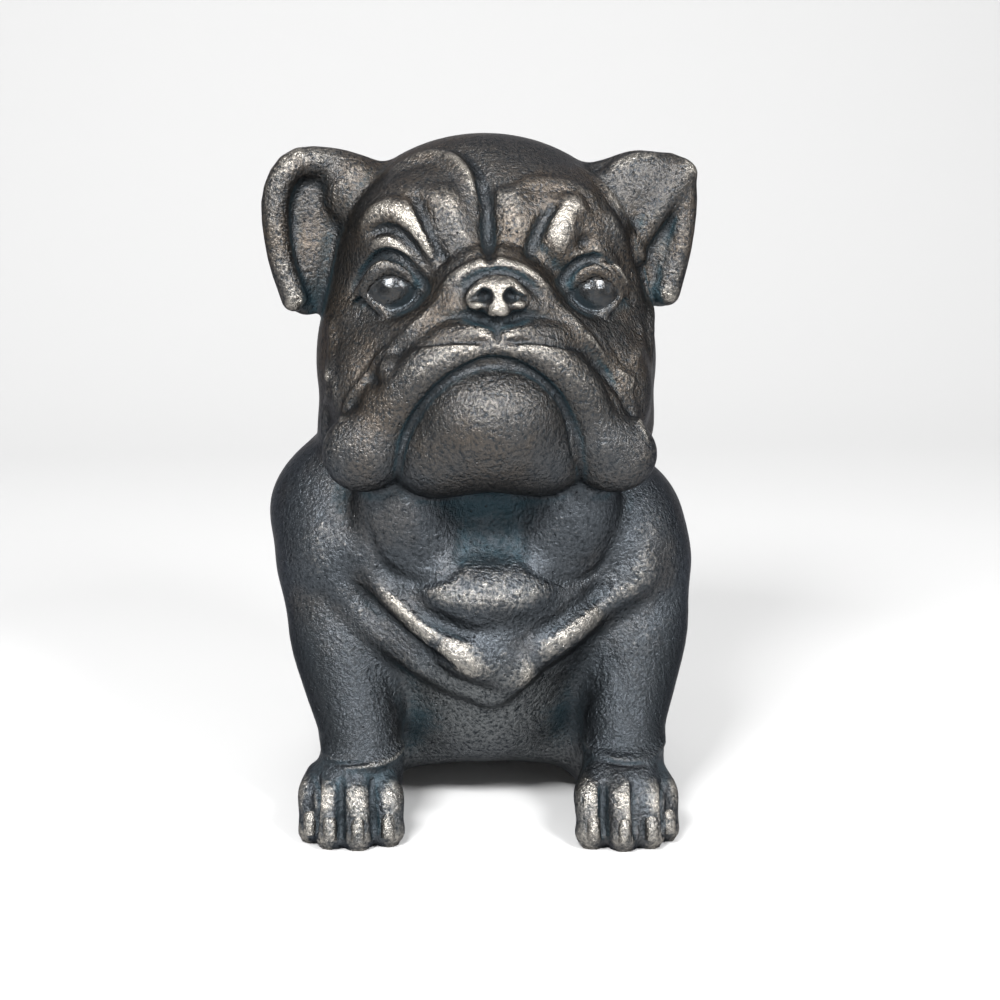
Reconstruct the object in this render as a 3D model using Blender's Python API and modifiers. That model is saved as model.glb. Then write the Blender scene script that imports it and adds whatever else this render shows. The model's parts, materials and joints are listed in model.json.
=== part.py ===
"""A seated bulldog garden statue, cast in one piece, looking up with its ears out to the sides.

The dog faces -Y and stands on z = 0. It is made the way a modeller works: solid lumps are put
together, blended into one skin, built up with strokes of clay, creased with a tool, and cast.
Every place and radius below is in hundredths of the statue's height, and turns are in degrees.
"""

import math
from collections import namedtuple

import bmesh
import bpy
import numpy as np
from mathutils import Euler, Matrix, Vector
from mathutils.bvhtree import BVHTree

STATUE_HEIGHT = 0.36
UNIT = STATUE_HEIGHT / 100

# Clay resolution, in hundredths of the height, and the triangles that the finished cast keeps.
ROUGH_CLAY = 1.1
FINE_CLAY = 0.7
CAST_TRIANGLES = 9400

# The face and chest were drawn from the front, by an eye a little above and left of the dog.
EYE_DISTANCE = 340.0
EYE_LIFT = 12.0
EYE_SIDE = -4.0
EYE_AIM = (2.9, 0.0, 45.3)
DRAWING_DEPTH = 320.0
DRAWING_CENTRE = (1.43, 49.57)

# The face and forelegs lean a touch to the dog's left.
FACE_SHIFT = 0.8
LEG_SHIFT = 0.4

EYE_CENTRE = (14.0, -13.2, 79.0)

# The paw's middle and front, and each toe's place across it, its girth, and how far its tip stays back.
PAW_CENTRE = 19.9
PAW_FRONT = -26.2
PAW_STEP = 3.0
TOES = ((5.9, 1.6, 3.4), (3.1, 1.9, 0.7), (-0.9, 2.2, 0.0), (-5.2, 2.2, 1.3))

# How far the ears reach out to each side.
EAR_REACH = 30.0

# Clay this near the ground is pressed flat on it.
GROUND_CUT = 0.3

# Distances in the blended form: beyond NEAR a piece isn't felt, and FAR stands for nowhere near.
NEAR = 2.0
FAR = 1e3

# A stroke is laid in this many steps, and fades over this share of its length at each end.
STROKE_STEPS = 28
STROKE_FADE = 0.3

BRONZE = (0.075, 0.08, 0.085, 1.0)

Lump = namedtuple("Lump", "name centre radii turn blend cut", defaults=((0, 0, 0), 4.0, False))
Roll = namedtuple("Roll", "name path radii blend", defaults=(2.5,))
Group = namedtuple("Group", "name pieces blend")
Stroke = namedtuple("Stroke", "name path width height")


def mirrored(piece):
    """The same piece on the dog's other side."""
    if isinstance(piece, Group):
        return piece._replace(pieces=[mirrored(part) for part in piece.pieces])
    if isinstance(piece, Roll):
        return piece._replace(path=[(-x, y, z) for x, y, z in piece.path])
    x, y, z = piece.centre
    tilt, roll, yaw = piece.turn
    return piece._replace(centre=(-x, y, z), turn=(tilt, -roll, -yaw))


def moved(piece, shift):
    if isinstance(piece, Group):
        return piece._replace(pieces=[moved(part, shift) for part in piece.pieces])
    if isinstance(piece, Roll):
        return piece._replace(path=[tuple(a + b for a, b in zip(place, shift)) for place in piece.path])
    return piece._replace(centre=tuple(a + b for a, b in zip(piece.centre, shift)))


def pair(*pieces):
    return [side for piece in pieces for side in (piece, mirrored(piece))]


def trunk():
    return [
        Lump("rib cage", (0, 0, 36), (23, 20, 21)),
        Lump("back", (0, 13.5, 40), (21, 16.5, 28), (-12, 0, 0), 6),
        Lump("belly", (0, 0, 23), (20.5, 16.5, 18.4), (0, 0, 0), 5),
        Lump("rump", (0, 22, 15.4), (22.5, 15.8, 18.5), (0, 0, 0), 9),
        Roll("tail", [(0, 31, 15), (1.5, 35, 13), (4.5, 36.4, 9.6), (7.5, 35, 7.6)], (4.4, 3.9, 3.2, 2.3), 3),
        *pair(
            Lump("thigh", (17.4, 9, 14.5), (8.9, 16, 13.5), (14, 0, 0), 3),
            Lump("knee", (18, -3, 10), (7, 9, 9.5), (0, 0, 0), 3),
            Lump("hind foot", (20.2, -5, 3.2), (5, 12, 5), (0, 0, 0), 2),
            Lump("lap", (9.6, 2, 9.8), (7, 9, 6), (0, 0, 0), 4),
        ),
        Lump("right nape", (-18.2, 3, 49.0), (14, 13, 8.4), (0, -27, 0), 4),
        Lump("left nape", (16.0, 3, 46.2), (13.2, 13, 8.1), (0, 29, 0), 4),
        Lump("breast bone", (0, -11.5, 30), (15, 9.5, 9.5), (0, 0, 0), 5),
        Lump("throat", (0, -2.6, 45.5), (21.5, 12.4, 9.5), (0, 0, 0), 5),
    ]


def foreleg():
    """The dog's left foreleg, with its foot left out."""
    return [
        Lump("shoulder", (21.6, -1, 39.6), (9.4, 14, 11.2), (0, 0, 0), 5),
        Roll(
            "foreleg",
            [(22.0, -4, 35), (21.9, -7, 27.5), (20.8, -10.5, 21), (19.6, -14.5, 15), (19.2, -17, 10)],
            (8.2, 8.1, 7.2, 6.2, 6.0),
            4,
        ),
        Lump("wrist", (19.2, -18, 12.6), (6.1, 6.0, 0.9), (14, 0, 0), 1.0),
    ]


def toe(side, girth, curl):
    x = PAW_CENTRE + side
    tip = PAW_FRONT + curl
    return [
        Roll(
            "toe",
            [
                (x - 0.15 * side, tip + 5.4, 8.6),
                (x, tip + 2.0, 6.8),
                (x, tip + 0.5, 3.8),
                (x, tip + 0.2, girth),
            ],
            (0.85 * girth, 1.1 * girth, 1.05 * girth, 1.15 * girth),
            0.35,
        ),
        Roll(
            "claw",
            [(x, tip - 1.3, 4.4), (x, tip - 2.0, 3.3), (x, tip - 2.4, 2.1)],
            (0.45, 0.7, 0.35),
            0.25,
        ),
    ]


def paw():
    toes = [piece for place in TOES for piece in toe(*place)]
    return [
        Lump("paw", (PAW_CENTRE, -18.8, 5.2), (7.3, 7.6, 6.4), (14, 0, 0), 2),
        Lump("sole", (PAW_CENTRE, -20.6, 1.4), (6.9, 6.4, 2.2), (0, 0, 0), 1.2),
        Group("toes", toes, 0.8),
    ]


def forelegs():
    """Both forelegs. The dog's left paw stands a little further forward."""
    shoulder, *lower_leg = foreleg()
    legs = pair(shoulder) + [moved(piece, (2 * LEG_SHIFT, 0, 0)) for piece in pair(*lower_leg)]
    right_paw = [moved(mirrored(piece), (-LEG_SHIFT, 0, 0)) for piece in paw()]
    left_paw = [moved(piece, (-LEG_SHIFT, -PAW_STEP, 0)) for piece in paw()]
    return legs + right_paw + left_paw


def throat_and_chest():
    return [
        *pair(Lump("dewlap", (11.4, -13.8, 47.6), (7.8, 5.9, 10.4), (0, 4, 0), 3.0)),
        Lump("throat hollow", (0.4, -20.4, 48.6), (5.4, 5.2, 8.6), (0, 0, 0), 5.0, True),
        Lump("breast roll", (-0.2, -18.8, 36.0), (8.8, 5.0, 3.8), (26, 0, 0), 2.6),
    ]


def eye():
    """The dog's left eye."""
    x, y, z = EYE_CENTRE
    upper = [
        (6.2, 1.9, -2.0), (4.3, -0.5, 0.4), (2.4, -1.8, 2.8), (0.3, -2.1, 3.6), (-1.6, -2.3, 2.9),
        (-3.5, -1.9, 0.9), (-4.9, -0.4, -1.2),
    ]
    lower = [
        (4.4, -0.6, -0.6), (3.0, -1.7, -1.9), (1.3, -2.1, -3.0), (-0.6, -1.9, -3.4),
        (-2.2, -1.9, -2.7), (-3.6, -1.4, -1.4), (-4.8, -0.4, -0.9),
    ]
    return [
        Lump("eye socket", (x, y - 4, z + 0.4), (4.1, 3, 3.3), (0, 0, 0), 1.5, True),
        Lump("eyeball", (x, y + 0.4, z), (4.0, 3.9, 3.7), (0, 0, 0), 0.25),
        moved(Roll("upper lid", upper, (0.4, 0.85, 1.15, 1.2, 1.05, 0.75, 0.4), 0.6), EYE_CENTRE),
        moved(Roll("lower lid", lower, (0.3, 0.5, 0.6, 0.65, 0.6, 0.5, 0.35), 0.6), EYE_CENTRE),
    ]


def head():
    lips = [
        Roll(
            "right lip",
            [
                (0, -25.4, 72.6), (-4.6, -25.4, 71.8), (-9.2, -24.4, 69.4), (-12.0, -23.0, 66.4),
                (-14.8, -21.8, 62.4), (-17, -20.8, 58),
            ],
            (2.1, 2.6, 3.4, 3.7, 3.7, 4.2),
            1.0,
        ),
        Lump("right flew", (-18.7, -20.2, 56.8), (5.8, 4.6, 5.7), (0, 0, 0), 2.6),
        Lump("right flew lump", (-16.6, -20.4, 63.6), (2.4, 3.4, 2.9), (0, 0, 0), 0.7),
        Lump("right flew upper lump", (-14.4, -20.8, 68.4), (2.2, 3.2, 2.4), (0, 0, 0), 0.7),
        Roll(
            "left lip",
            [
                (0, -25.4, 72.6), (4.6, -25.4, 71.6), (8.4, -24.6, 69.2), (11.2, -23.4, 66),
                (13, -22.4, 62.5), (14.4, -21.6, 59),
            ],
            (2.1, 2.5, 3.2, 3.5, 3.5, 3.9),
            1.0,
        ),
        Lump("left flew", (17.0, -20.4, 56.1), (6.1, 4.6, 5.5), (0, 0, 0), 2.6),
        Roll(
            "left lip rim",
            [(13.4, -21.8, 67), (15.4, -21.2, 64.8), (17, -20.8, 62.2), (17.6, -20.6, 59.4)],
            (1.0, 1.2, 1.2, 1.2),
            0.7,
        ),
    ]
    chin = [
        Lump("upper chin", (-0.5, -22, 62.6), (10.2, 9.8, 8.0)),
        Lump("lower chin", (-1.2, -17.6, 57.2), (12.8, 10.8, 6.2), (0, 0, 0), 6),
        Lump("right chin corner", (-9.2, -16.2, 55.2), (5.2, 8.4, 4.6), (0, 0, 0), 6),
        Lump("left chin corner", (7.4, -16.2, 55.2), (5.2, 8.4, 4.6), (0, 0, 0), 6),
    ]
    nose = [
        Lump("nose pad", (0, -23.4, 79.4), (4.0, 3.5, 2.9)),
        *pair(Lump("nostril wing", (2.7, -24.7, 78.9), (1.7, 2.2, 1.7), (0, 0, 0), 0.5)),
        Lump("nose tip", (0.1, -25.6, 77.8), (1.8, 2.0, 2.1), (0, 0, 0), 0.4),
        *pair(
            Lump("nostril", (1.85, -27.4, 79.5), (1.15, 3, 1.15), (0, 0, 0), 0.3, True),
            Lump("nostril slit", (3.4, -27, 79.1), (1.7, 2.2, 0.5), (0, 24, 0), 0.25, True),
        ),
    ]
    pieces = [
        Lump("neck", (0, 5, 58), (21, 18.5, 18), (0, 0, 0), 7),
        Lump("skull", (0, 3, 82), (22.3, 19, 18.2), (0, 0, 0), 5),
        *pair(
            Lump("cheek", (13, -1, 67), (12.3, 15, 18.5), (0, 0, 0), 4),
            Lump("jowl", (14.2, -3, 57.5), (10.4, 12, 8), (0, 0, 0), 3),
            Lump("cheek pad", (16.6, -13, 64), (6.5, 6.5, 8), (0, 0, 0), 4),
            Lump("brow", (10, -8, 86), (9, 8, 8), (-20, 0, 0), 5),
        ),
        Lump("muzzle", (0, -13.5, 70.5), (17, 12.5, 9.5), (-15, 0, 0), 4),
        Lump("nose bridge", (0, -18, 78), (8.5, 6, 7), (0, 0, 0), 3),
        Lump("lower jaw", (0, -12.5, 57.5), (17, 8.5, 8), (0, 0, 0), 2),
        Group("lips", lips, 2.2),
        Group("chin", chin, 0.5),
        Group("nose", nose, 0.5),
        Lump("brow dimple", (13.4, -16.4, 85.5), (1.6, 1.7, 1.5), (0, 0, 0), 0.9, True),
        *[mirrored(piece) for piece in eye()],
        *[moved(piece, (0.4, 0, -0.5)) for piece in eye()],
    ]
    return [moved(piece, (FACE_SHIFT, 0, 0)) for piece in pieces]


def ears():
    tip = EAR_REACH
    return [
        Roll(
            "right ear rim",
            [
                (-14, 4, 92.6),
                (-20.5, 2, 95.4),
                (3.0 - tip, 0.6, 95.9),
                (-tip, 0, 91),
                (0.4 - tip, -0.8, 83),
                (2.4 - tip, -1.5, 76.4),
            ],
            (3, 2.5, 2.2, 2.1, 1.9, 1.9),
            1.5,
        ),
        Lump("right ear back", (-23.5, 3, 87), (8.4, 2.4, 10.5), (0, 8, 0), 1.5),
        Lump("right ear lobe", (-25.4, 2, 80), (4.6, 2.2, 6.5), (0, 6, 0), 1.5),
        Lump("right ear root", (-18.8, 0.5, 91.8), (4, 3, 4.6), (0, 20, 0), 1.5),
        Roll(
            "left ear rim",
            [
                (14, 4, 91.8),
                (21, 2, 94.4),
                (tip - 1.4, 0.6, 95.2),
                (tip + 0.2, 0, 91.5),
                (tip - 0.4, -0.8, 84),
                (tip - 2.4, -1.5, 77),
            ],
            (3, 2.4, 2.0, 2.0, 1.9, 2.1),
            1.5,
        ),
        Lump("left ear back", (24.4, 2.4, 86.5), (7.4, 2.8, 11), (0, -8, 0), 1.5),
        Lump("left ear lobe", (26.4, 0.6, 81), (3.6, 2.2, 6.5), (0, -8, 0), 1.5),
        Lump("left ear root", (20.4, -0.6, 87.6), (3.4, 3, 5.2), (0, -12, 0), 1.5),
        Lump("left ear flap", (22.4, -0.6, 91), (7.6, 2.6, 5.8), (0, -38, 0), 1.2),
        Roll("left ear fold", [(30.6, -0.4, 94.6), (26, -2.0, 89), (22.4, -2.2, 83)], (1.3, 1.7, 1.4), 1.4),
    ]


CLAY_STROKES = [
    Stroke(
        "outer brow roll, right",
        [
            (-19.0, 86.4), (-17.4, 89.3), (-15.0, 91.0), (-12.4, 90.3), (-10.0, 87.9), (-8.1, 84.6),
            (-6.7, 80.7),
        ],
        1.5,
        1.2,
    ),
    Stroke(
        "lid roll, right",
        [(-17.9, 85.3), (-15.0, 86.3), (-12.6, 85.3), (-10.6, 83.0), (-8.6, 79.9)],
        1.0,
        0.6,
    ),
    Stroke(
        "forehead fold, right",
        [
            (-15.7, 95.0), (-12.1, 97.4), (-8.6, 98.6), (-5.7, 98.1), (-3.4, 96.0), (-2.0, 93.0),
            (-1.0, 89.0),
        ],
        1.2,
        1.0,
    ),
    Stroke("inner brow roll, right", [(-7.3, 95.0), (-5.6, 91.0), (-4.0, 87.0), (-2.9, 83.8)], 2.1, 1.3),
    Stroke("inner brow roll, left", [(1.9, 94.6), (3.2, 90.0), (3.0, 84.4)], 2.1, 1.3),
    Stroke("outer brow roll, left", [(14.0, 91.9), (11.4, 91.0), (10.1, 87.9), (9.0, 82.7)], 1.6, 1.2),
    Stroke("far brow roll, left", [(16.6, 91.3), (18.6, 87.0), (20.3, 82.1), (21.4, 77.4)], 1.3, 0.6),
    Stroke(
        "lid roll, left",
        [(10.4, 82.4), (12.6, 84.4), (14.6, 85.3), (16.9, 84.1), (19.1, 81.0), (21.1, 77.9)],
        0.9,
        0.5,
    ),
    Stroke(
        "forehead fold, left",
        [(3.1, 94.0), (6.0, 95.0), (9.4, 95.0), (12.9, 93.9), (15.7, 91.6)],
        1.0,
        0.45,
    ),
    Stroke(
        "nose fold",
        [
            (-7.6, 77.4), (-6.1, 80.4), (-3.4, 82.4), (0.0, 83.4), (3.1, 83.0), (6.0, 81.7),
            (8.6, 79.1), (10.3, 76.4),
        ],
        0.9,
        0.6,
    ),
    Stroke("nose fold end, right", [(-7.1, 78.1), (-10.0, 75.3), (-12.9, 72.4), (-16.0, 69.9)], 0.7, 0.4),
    Stroke("nose fold end, left", [(9.7, 77.4), (12.1, 75.0), (14.6, 71.7), (16.6, 68.1)], 0.7, 0.4),
    Stroke("upper muzzle roll, right", [(-9.3, 73.0), (-3.6, 74.0), (0.3, 73.3)], 0.8, 0.5),
    Stroke("upper muzzle roll, left", [(1.9, 73.3), (6.4, 74.0), (12.1, 73.0)], 0.8, 0.5),
    Stroke("cheek line, right", [(-15.0, 71.7), (-17.1, 67.9), (-20.0, 64.1), (-21.4, 60.3)], 0.6, 0.5),
    Stroke(
        "cheek line, left",
        [(13.3, 73.9), (16.3, 69.9), (18.6, 65.0), (20.9, 61.0), (22.9, 58.1)],
        0.6,
        0.5,
    ),
    Stroke("second cheek line, left", [(14.6, 74.6), (17.4, 69.9), (20.3, 63.9), (21.7, 59.6)], 0.5, 0.35),
    Stroke(
        "side fold, left",
        [(12.1, 97.7), (16.0, 94.1), (19.3, 89.0), (21.6, 83.6), (22.7, 77.4), (23.1, 66.7)],
        0.9,
        0.9,
    ),
    Stroke("side fold, right", [(-22.9, 73.9), (-22.6, 68.1), (-23.4, 62.4), (-24.0, 58.1)], 0.8, 0.6),
    Stroke("upper cheek pleat, right", [(-22.9, 75.3), (-22.5, 73.4), (-21.9, 71.7)], 0.7, 0.45),
    Stroke("lower cheek pleat, right", [(-23.6, 68.9), (-22.3, 66.4), (-22.1, 62.4)], 0.7, 0.45),
    Stroke("upper cheek pleat, left", [(21.4, 75.3), (21.6, 72.0), (20.3, 68.9)], 0.7, 0.45),
    Stroke("lower cheek pleat, left", [(17.9, 68.1), (20.0, 66.7), (19.7, 65.0)], 0.7, 0.45),
    Stroke(
        "inner mantle fold, right",
        [
            (-21.0, 46.0), (-18.3, 41.3), (-15.0, 37.1), (-12.1, 34.3), (-8.6, 30.9), (-5.0, 28.3),
            (-1.1, 26.3), (3.0, 26.0),
        ],
        1.8,
        1.7,
    ),
    Stroke(
        "outer mantle fold, right",
        [
            (-23.6, 38.4), (-20.0, 34.4), (-15.7, 29.9), (-12.1, 27.1), (-8.6, 24.9), (-4.6, 22.9),
            (0.3, 21.7), (4.0, 22.8),
        ],
        1.5,
        1.1,
    ),
    Stroke(
        "mantle fold, left",
        [
            (24.3, 41.7), (21.0, 38.1), (17.4, 35.6), (14.3, 33.0), (10.7, 30.1), (7.1, 27.6),
            (3.6, 24.7), (0.6, 22.1), (-2.6, 20.8),
        ],
        2.0,
        1.8,
    ),
    Stroke("mantle middle", [(-7.0, 30.0), (-2.6, 27.2), (1.6, 26.6), (5.4, 28.6)], 3.8, 1.8),
]

CREASES = [
    Stroke("scalp hollow", [(-4.4, 100.4), (-2.4, 98.2), (-1.2, 95.4), (-0.5, 91.0)], 1.2, -0.7),
    Stroke(
        "middle furrow",
        [(-1.0, 95.6), (-0.5, 92.6), (-0.3, 89.0), (-0.2, 86.0), (0.0, 83.0)],
        0.8,
        -1.0,
    ),
    Stroke("brow furrow, right", [(-11.1, 93.9), (-9.4, 90.1), (-7.6, 86.1), (-6.3, 83.3)], 0.85, -0.9),
    Stroke(
        "lid furrow, right",
        [(-18.0, 87.3), (-15.4, 88.3), (-13.1, 87.9), (-10.9, 85.6), (-8.6, 82.1)],
        0.7,
        -0.8,
    ),
    Stroke("brow furrow, left", [(9.7, 92.4), (7.9, 90.1), (6.4, 87.0), (5.3, 83.6)], 0.85, -0.9),
    Stroke(
        "upper lid crease, right",
        [
            (-20.6, 77.7), (-19.1, 80.9), (-17.0, 83.4), (-14.6, 84.7), (-12.3, 83.7), (-10.3, 81.4),
            (-8.4, 79.1),
        ],
        0.7,
        -0.9,
    ),
    Stroke(
        "upper lid crease, left",
        [(9.4, 79.6), (11.6, 82.7), (14.1, 84.0), (16.6, 83.4), (18.9, 80.6), (20.9, 77.3)],
        0.7,
        -0.9,
    ),
    Stroke(
        "nose rim",
        [(-4.6, 76.4), (-4.1, 79.3), (-2.0, 81.3), (0.9, 82.1), (4.0, 81.4), (6.6, 79.4), (7.9, 76.4)],
        0.75,
        -0.5,
    ),
    Stroke(
        "muzzle top crease",
        [(-8.6, 75.0), (-4.0, 76.1), (1.0, 75.1), (6.3, 76.1), (11.7, 75.0)],
        0.6,
        -0.7,
    ),
    Stroke("upper muzzle crease, right", [(-10.3, 71.7), (-5.0, 72.4), (0.6, 72.0)], 0.5, -0.6),
    Stroke("upper muzzle crease, left", [(1.6, 72.0), (7.1, 72.3), (14.3, 70.7)], 0.5, -0.6),
    Stroke("philtrum", [(1.0, 75.9), (1.1, 71.6)], 0.45, -0.6),
    Stroke(
        "mouth",
        [
            (-13.4, 51.9), (-12.7, 55.3), (-12.1, 58.1), (-11.1, 61.0), (-9.0, 63.9), (-6.3, 66.7),
            (-2.3, 69.1), (1.0, 69.7), (4.3, 68.9), (7.4, 66.7), (9.9, 63.9), (11.0, 61.0),
            (11.6, 58.1), (12.0, 55.3), (13.7, 52.1),
        ],
        0.5,
        -0.45,
    ),
    Stroke(
        "dewlap edge, right",
        [
            (-17.7, 48.9), (-17.0, 43.6), (-14.9, 40.1), (-11.1, 38.1), (-7.4, 38.1), (-5.0, 39.6),
            (-4.1, 43.1), (-4.0, 47.4),
        ],
        0.8,
        -0.35,
    ),
    Stroke(
        "dewlap edge, left",
        [
            (4.6, 47.4), (4.4, 43.4), (5.4, 40.4), (8.0, 38.6), (11.4, 38.0), (14.6, 38.9),
            (16.9, 41.7), (17.7, 46.0),
        ],
        0.8,
        -0.35,
    ),
    Stroke("toe groove, right outer", [(-24.6, 10.3), (-24.7, 6.0), (-24.9, 1.3)], 0.45, -0.9),
    Stroke("toe groove, right middle", [(-21.3, 9.9), (-21.3, 5.3), (-21.3, 1.0)], 0.45, -0.9),
    Stroke("toe groove, right inner", [(-16.9, 9.9), (-16.7, 5.6), (-16.6, 1.0)], 0.45, -0.9),
    Stroke("toe groove, left inner", [(16.1, 9.6), (16.1, 5.0), (16.0, 1.3)], 0.45, -0.9),
    Stroke("toe groove, left middle", [(20.6, 9.6), (20.7, 5.0), (21.0, 0.6)], 0.45, -0.9),
    Stroke("toe groove, left outer", [(24.6, 9.6), (24.7, 5.0), (24.9, 1.3)], 0.45, -0.9),
    Stroke("wrist crease, right", [(-24.0, 12.0), (-20.7, 11.9), (-16.9, 12.3)], 0.4, -0.5),
    Stroke("wrist crease, left", [(15.7, 12.7), (18.9, 11.9), (22.3, 12.0)], 0.4, -0.5),
    Stroke(
        "mantle hollow, right",
        [(-16.9, 41.0), (-12.9, 36.4), (-8.6, 32.9), (-3.4, 30.7), (1.4, 30.4)],
        1.1,
        -0.7,
    ),
    Stroke(
        "fold hollow, right",
        [(-20.0, 38.1), (-16.0, 34.4), (-12.1, 30.7), (-8.3, 27.6), (-4.0, 24.7)],
        0.9,
        -0.6,
    ),
    Stroke("mantle hollow, left", [(5.7, 30.1), (10.0, 32.4), (14.0, 35.3), (17.4, 38.1)], 1.1, -0.7),
    Stroke(
        "shoulder hollow, right",
        [(-29.4, 36.1), (-25.7, 35.9), (-22.1, 34.4), (-18.6, 30.7)],
        1.8,
        -0.35,
    ),
    Stroke("shoulder hollow, left", [(27.4, 36.4), (24.3, 35.0), (20.9, 33.3), (17.4, 30.7)], 1.8, -0.35),
    Stroke("leg groove, left", [(17.4, 27.4), (19.0, 23.6), (20.1, 20.1), (21.3, 16.4)], 1.1, -0.25),
]


def curve_points(path, count):
    """Points along a smooth curve through the path's own points."""
    knots = [np.asarray(p, float) for p in path]
    knots = [2 * knots[0] - knots[1], *knots, 2 * knots[-1] - knots[-2]]
    spans = len(knots) - 3
    found = []
    for step in range(count):
        place = step / (count - 1) * spans
        span = min(int(place), spans - 1)
        t = place - span
        a, b, c, d = knots[span : span + 4]
        bend = (2 * a - 5 * b + 4 * c - d) * t**2 + (3 * b - a - 3 * c + d) * t**3
        found.append(0.5 * (2 * b + (c - a) * t + bend))
    return np.array(found)


def roll_beads(roll, count=17):
    radii = curve_points([(r, 0, 0) for r in roll.radii], count)[:, 0]
    return curve_points(roll.path, count), radii


def lump_turn(lump):
    return Euler([math.radians(a) for a in lump.turn]).to_matrix()


def lump_distance(points, lump):
    """About how far each point lies outside an ellipsoid."""
    local = (points - np.array(lump.centre)) @ np.array(lump_turn(lump))
    radii = np.array(lump.radii, float)
    near = np.linalg.norm(local / radii, axis=1)
    slope = np.maximum(np.linalg.norm(local / radii**2, axis=1), 1e-6)
    return near * (near - 1) / slope


def cone_distance(points, a, b, ra, rb):
    """How far each point lies outside the skin stretched over a ball at a and a ball at b."""
    axis = b - a
    square = max(axis @ axis, 1e-9)
    taper = ra - rb
    slope = max(square - taper**2, 1e-9)
    along = (points - a) @ axis
    side = np.sum(((points - a) * square - np.outer(along, axis)) ** 2, axis=1)
    past = along - square
    bend = np.sign(taper) * taper**2 * side
    beyond_b = np.sqrt(side + past**2 * square) / square - rb
    before_a = np.sqrt(side + along**2 * square) / square - ra
    between = (np.sqrt(side * slope / square) + along * taper) / square - ra
    is_b = np.sign(past) * slope * past**2 * square > bend
    is_a = np.sign(along) * slope * along**2 * square < bend
    return np.where(is_b, beyond_b, np.where(is_a, before_a, between))


def roll_distance(points, roll):
    """How far each point lies outside a tube whose radius changes along its path."""
    path, radii = roll_beads(roll)
    nearest = np.full(len(points), FAR)
    for a, b, ra, rb in zip(path[:-1], path[1:], radii[:-1], radii[1:]):
        nearest = np.minimum(nearest, cone_distance(points, a, b, ra, rb))
    return nearest


def reach_box(piece):
    """Lowest and highest corner of the space that a piece fills."""
    if isinstance(piece, Group):
        boxes = [reach_box(part) for part in piece.pieces]
        return np.min([low for low, _ in boxes], axis=0), np.max([high for _, high in boxes], axis=0)
    if isinstance(piece, Roll):
        path, radii = roll_beads(piece)
        return path.min(axis=0) - radii.max(), path.max(axis=0) + radii.max()
    half = np.linalg.norm(np.array(lump_turn(piece)) * np.array(piece.radii), axis=1)
    return np.array(piece.centre) - half, np.array(piece.centre) + half


def own_distance(points, piece, reach):
    if isinstance(piece, Group):
        return blended_distance(points, piece.pieces, reach)
    return roll_distance(points, piece) if isinstance(piece, Roll) else lump_distance(points, piece)


def blended_distance(points, pieces, reach=NEAR):
    """How far each point lies outside all the pieces, where each melts into those before it."""
    skin = np.full(len(points), FAR)
    for piece in pieces:
        low, high = reach_box(piece)
        margin = piece.blend + reach
        near = np.all((points > low - margin) & (points < high + margin), axis=1).nonzero()[0]
        own = own_distance(points[near], piece, reach)
        sign = -1 if getattr(piece, "cut", False) else 1
        before = sign * skin[near]
        mix = np.clip(0.5 + 0.5 * (before - own) / piece.blend, 0, 1)
        skin[near] = sign * (before + (own - before) * mix - piece.blend * mix * (1 - mix))
    return skin


def single_pieces(pieces):
    for piece in pieces:
        if isinstance(piece, Group):
            yield from single_pieces(piece.pieces)
        else:
            yield piece


def mesh_of(name, bm):
    mesh = bpy.data.meshes.new(name)
    bm.to_mesh(mesh)
    bm.free()
    return mesh


def block_out(pieces):
    """The lumps and rolls as overlapping balls, in one object."""
    bm = bmesh.new()
    for piece in single_pieces(pieces):
        if isinstance(piece, Roll):
            for place, radius in zip(*roll_beads(piece, 17)):
                spot = Matrix.Translation(place)
                bmesh.ops.create_icosphere(bm, subdivisions=2, radius=radius, matrix=spot)
        elif not piece.cut:
            frame = Matrix.Translation(piece.centre) @ lump_turn(piece).to_4x4()
            scale = Matrix.Diagonal((*piece.radii, 1))
            bmesh.ops.create_icosphere(bm, subdivisions=3, radius=1, matrix=frame @ scale)
    statue = bpy.data.objects.new("bulldog", mesh_of("bulldog", bm))
    bpy.context.scene.collection.objects.link(statue)
    return statue


def apply_modifiers(statue):
    """The object's mesh becomes what its modifiers show."""
    graph = bpy.context.evaluated_depsgraph_get()
    made = bpy.data.meshes.new_from_object(statue.evaluated_get(graph))
    statue.modifiers.clear()
    old, statue.data = statue.data, made
    bpy.data.meshes.remove(old)


def reclay(statue, grain):
    """One even, closed skin over the whole object."""
    remesh = statue.modifiers.new("even skin", "REMESH")
    remesh.mode = "VOXEL"
    remesh.voxel_size = grain
    apply_modifiers(statue)


def smooth(statue, times, strength=0.5):
    soften = statue.modifiers.new("soften", "SMOOTH")
    soften.iterations = times
    soften.factor = strength
    apply_modifiers(statue)


def read_skin(statue):
    mesh = statue.data
    points = np.empty(len(mesh.vertices) * 3)
    mesh.vertices.foreach_get("co", points)
    normals = np.empty(len(mesh.vertices) * 3)
    mesh.vertex_normals.foreach_get("vector", normals)
    return points.reshape(-1, 3), normals.reshape(-1, 3)


def move_skin(statue, points):
    statue.data.vertices.foreach_set("co", points.ravel())
    statue.data.update()


def settle(statue, pieces, rounds=4, reach=1.5):
    """Each point of the skin moves along its normal onto the blended form."""
    for _ in range(rounds):
        points, normals = read_skin(statue)
        gap = np.clip(blended_distance(points, pieces), -reach, reach)
        move_skin(statue, points - normals * gap[:, None])


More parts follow.
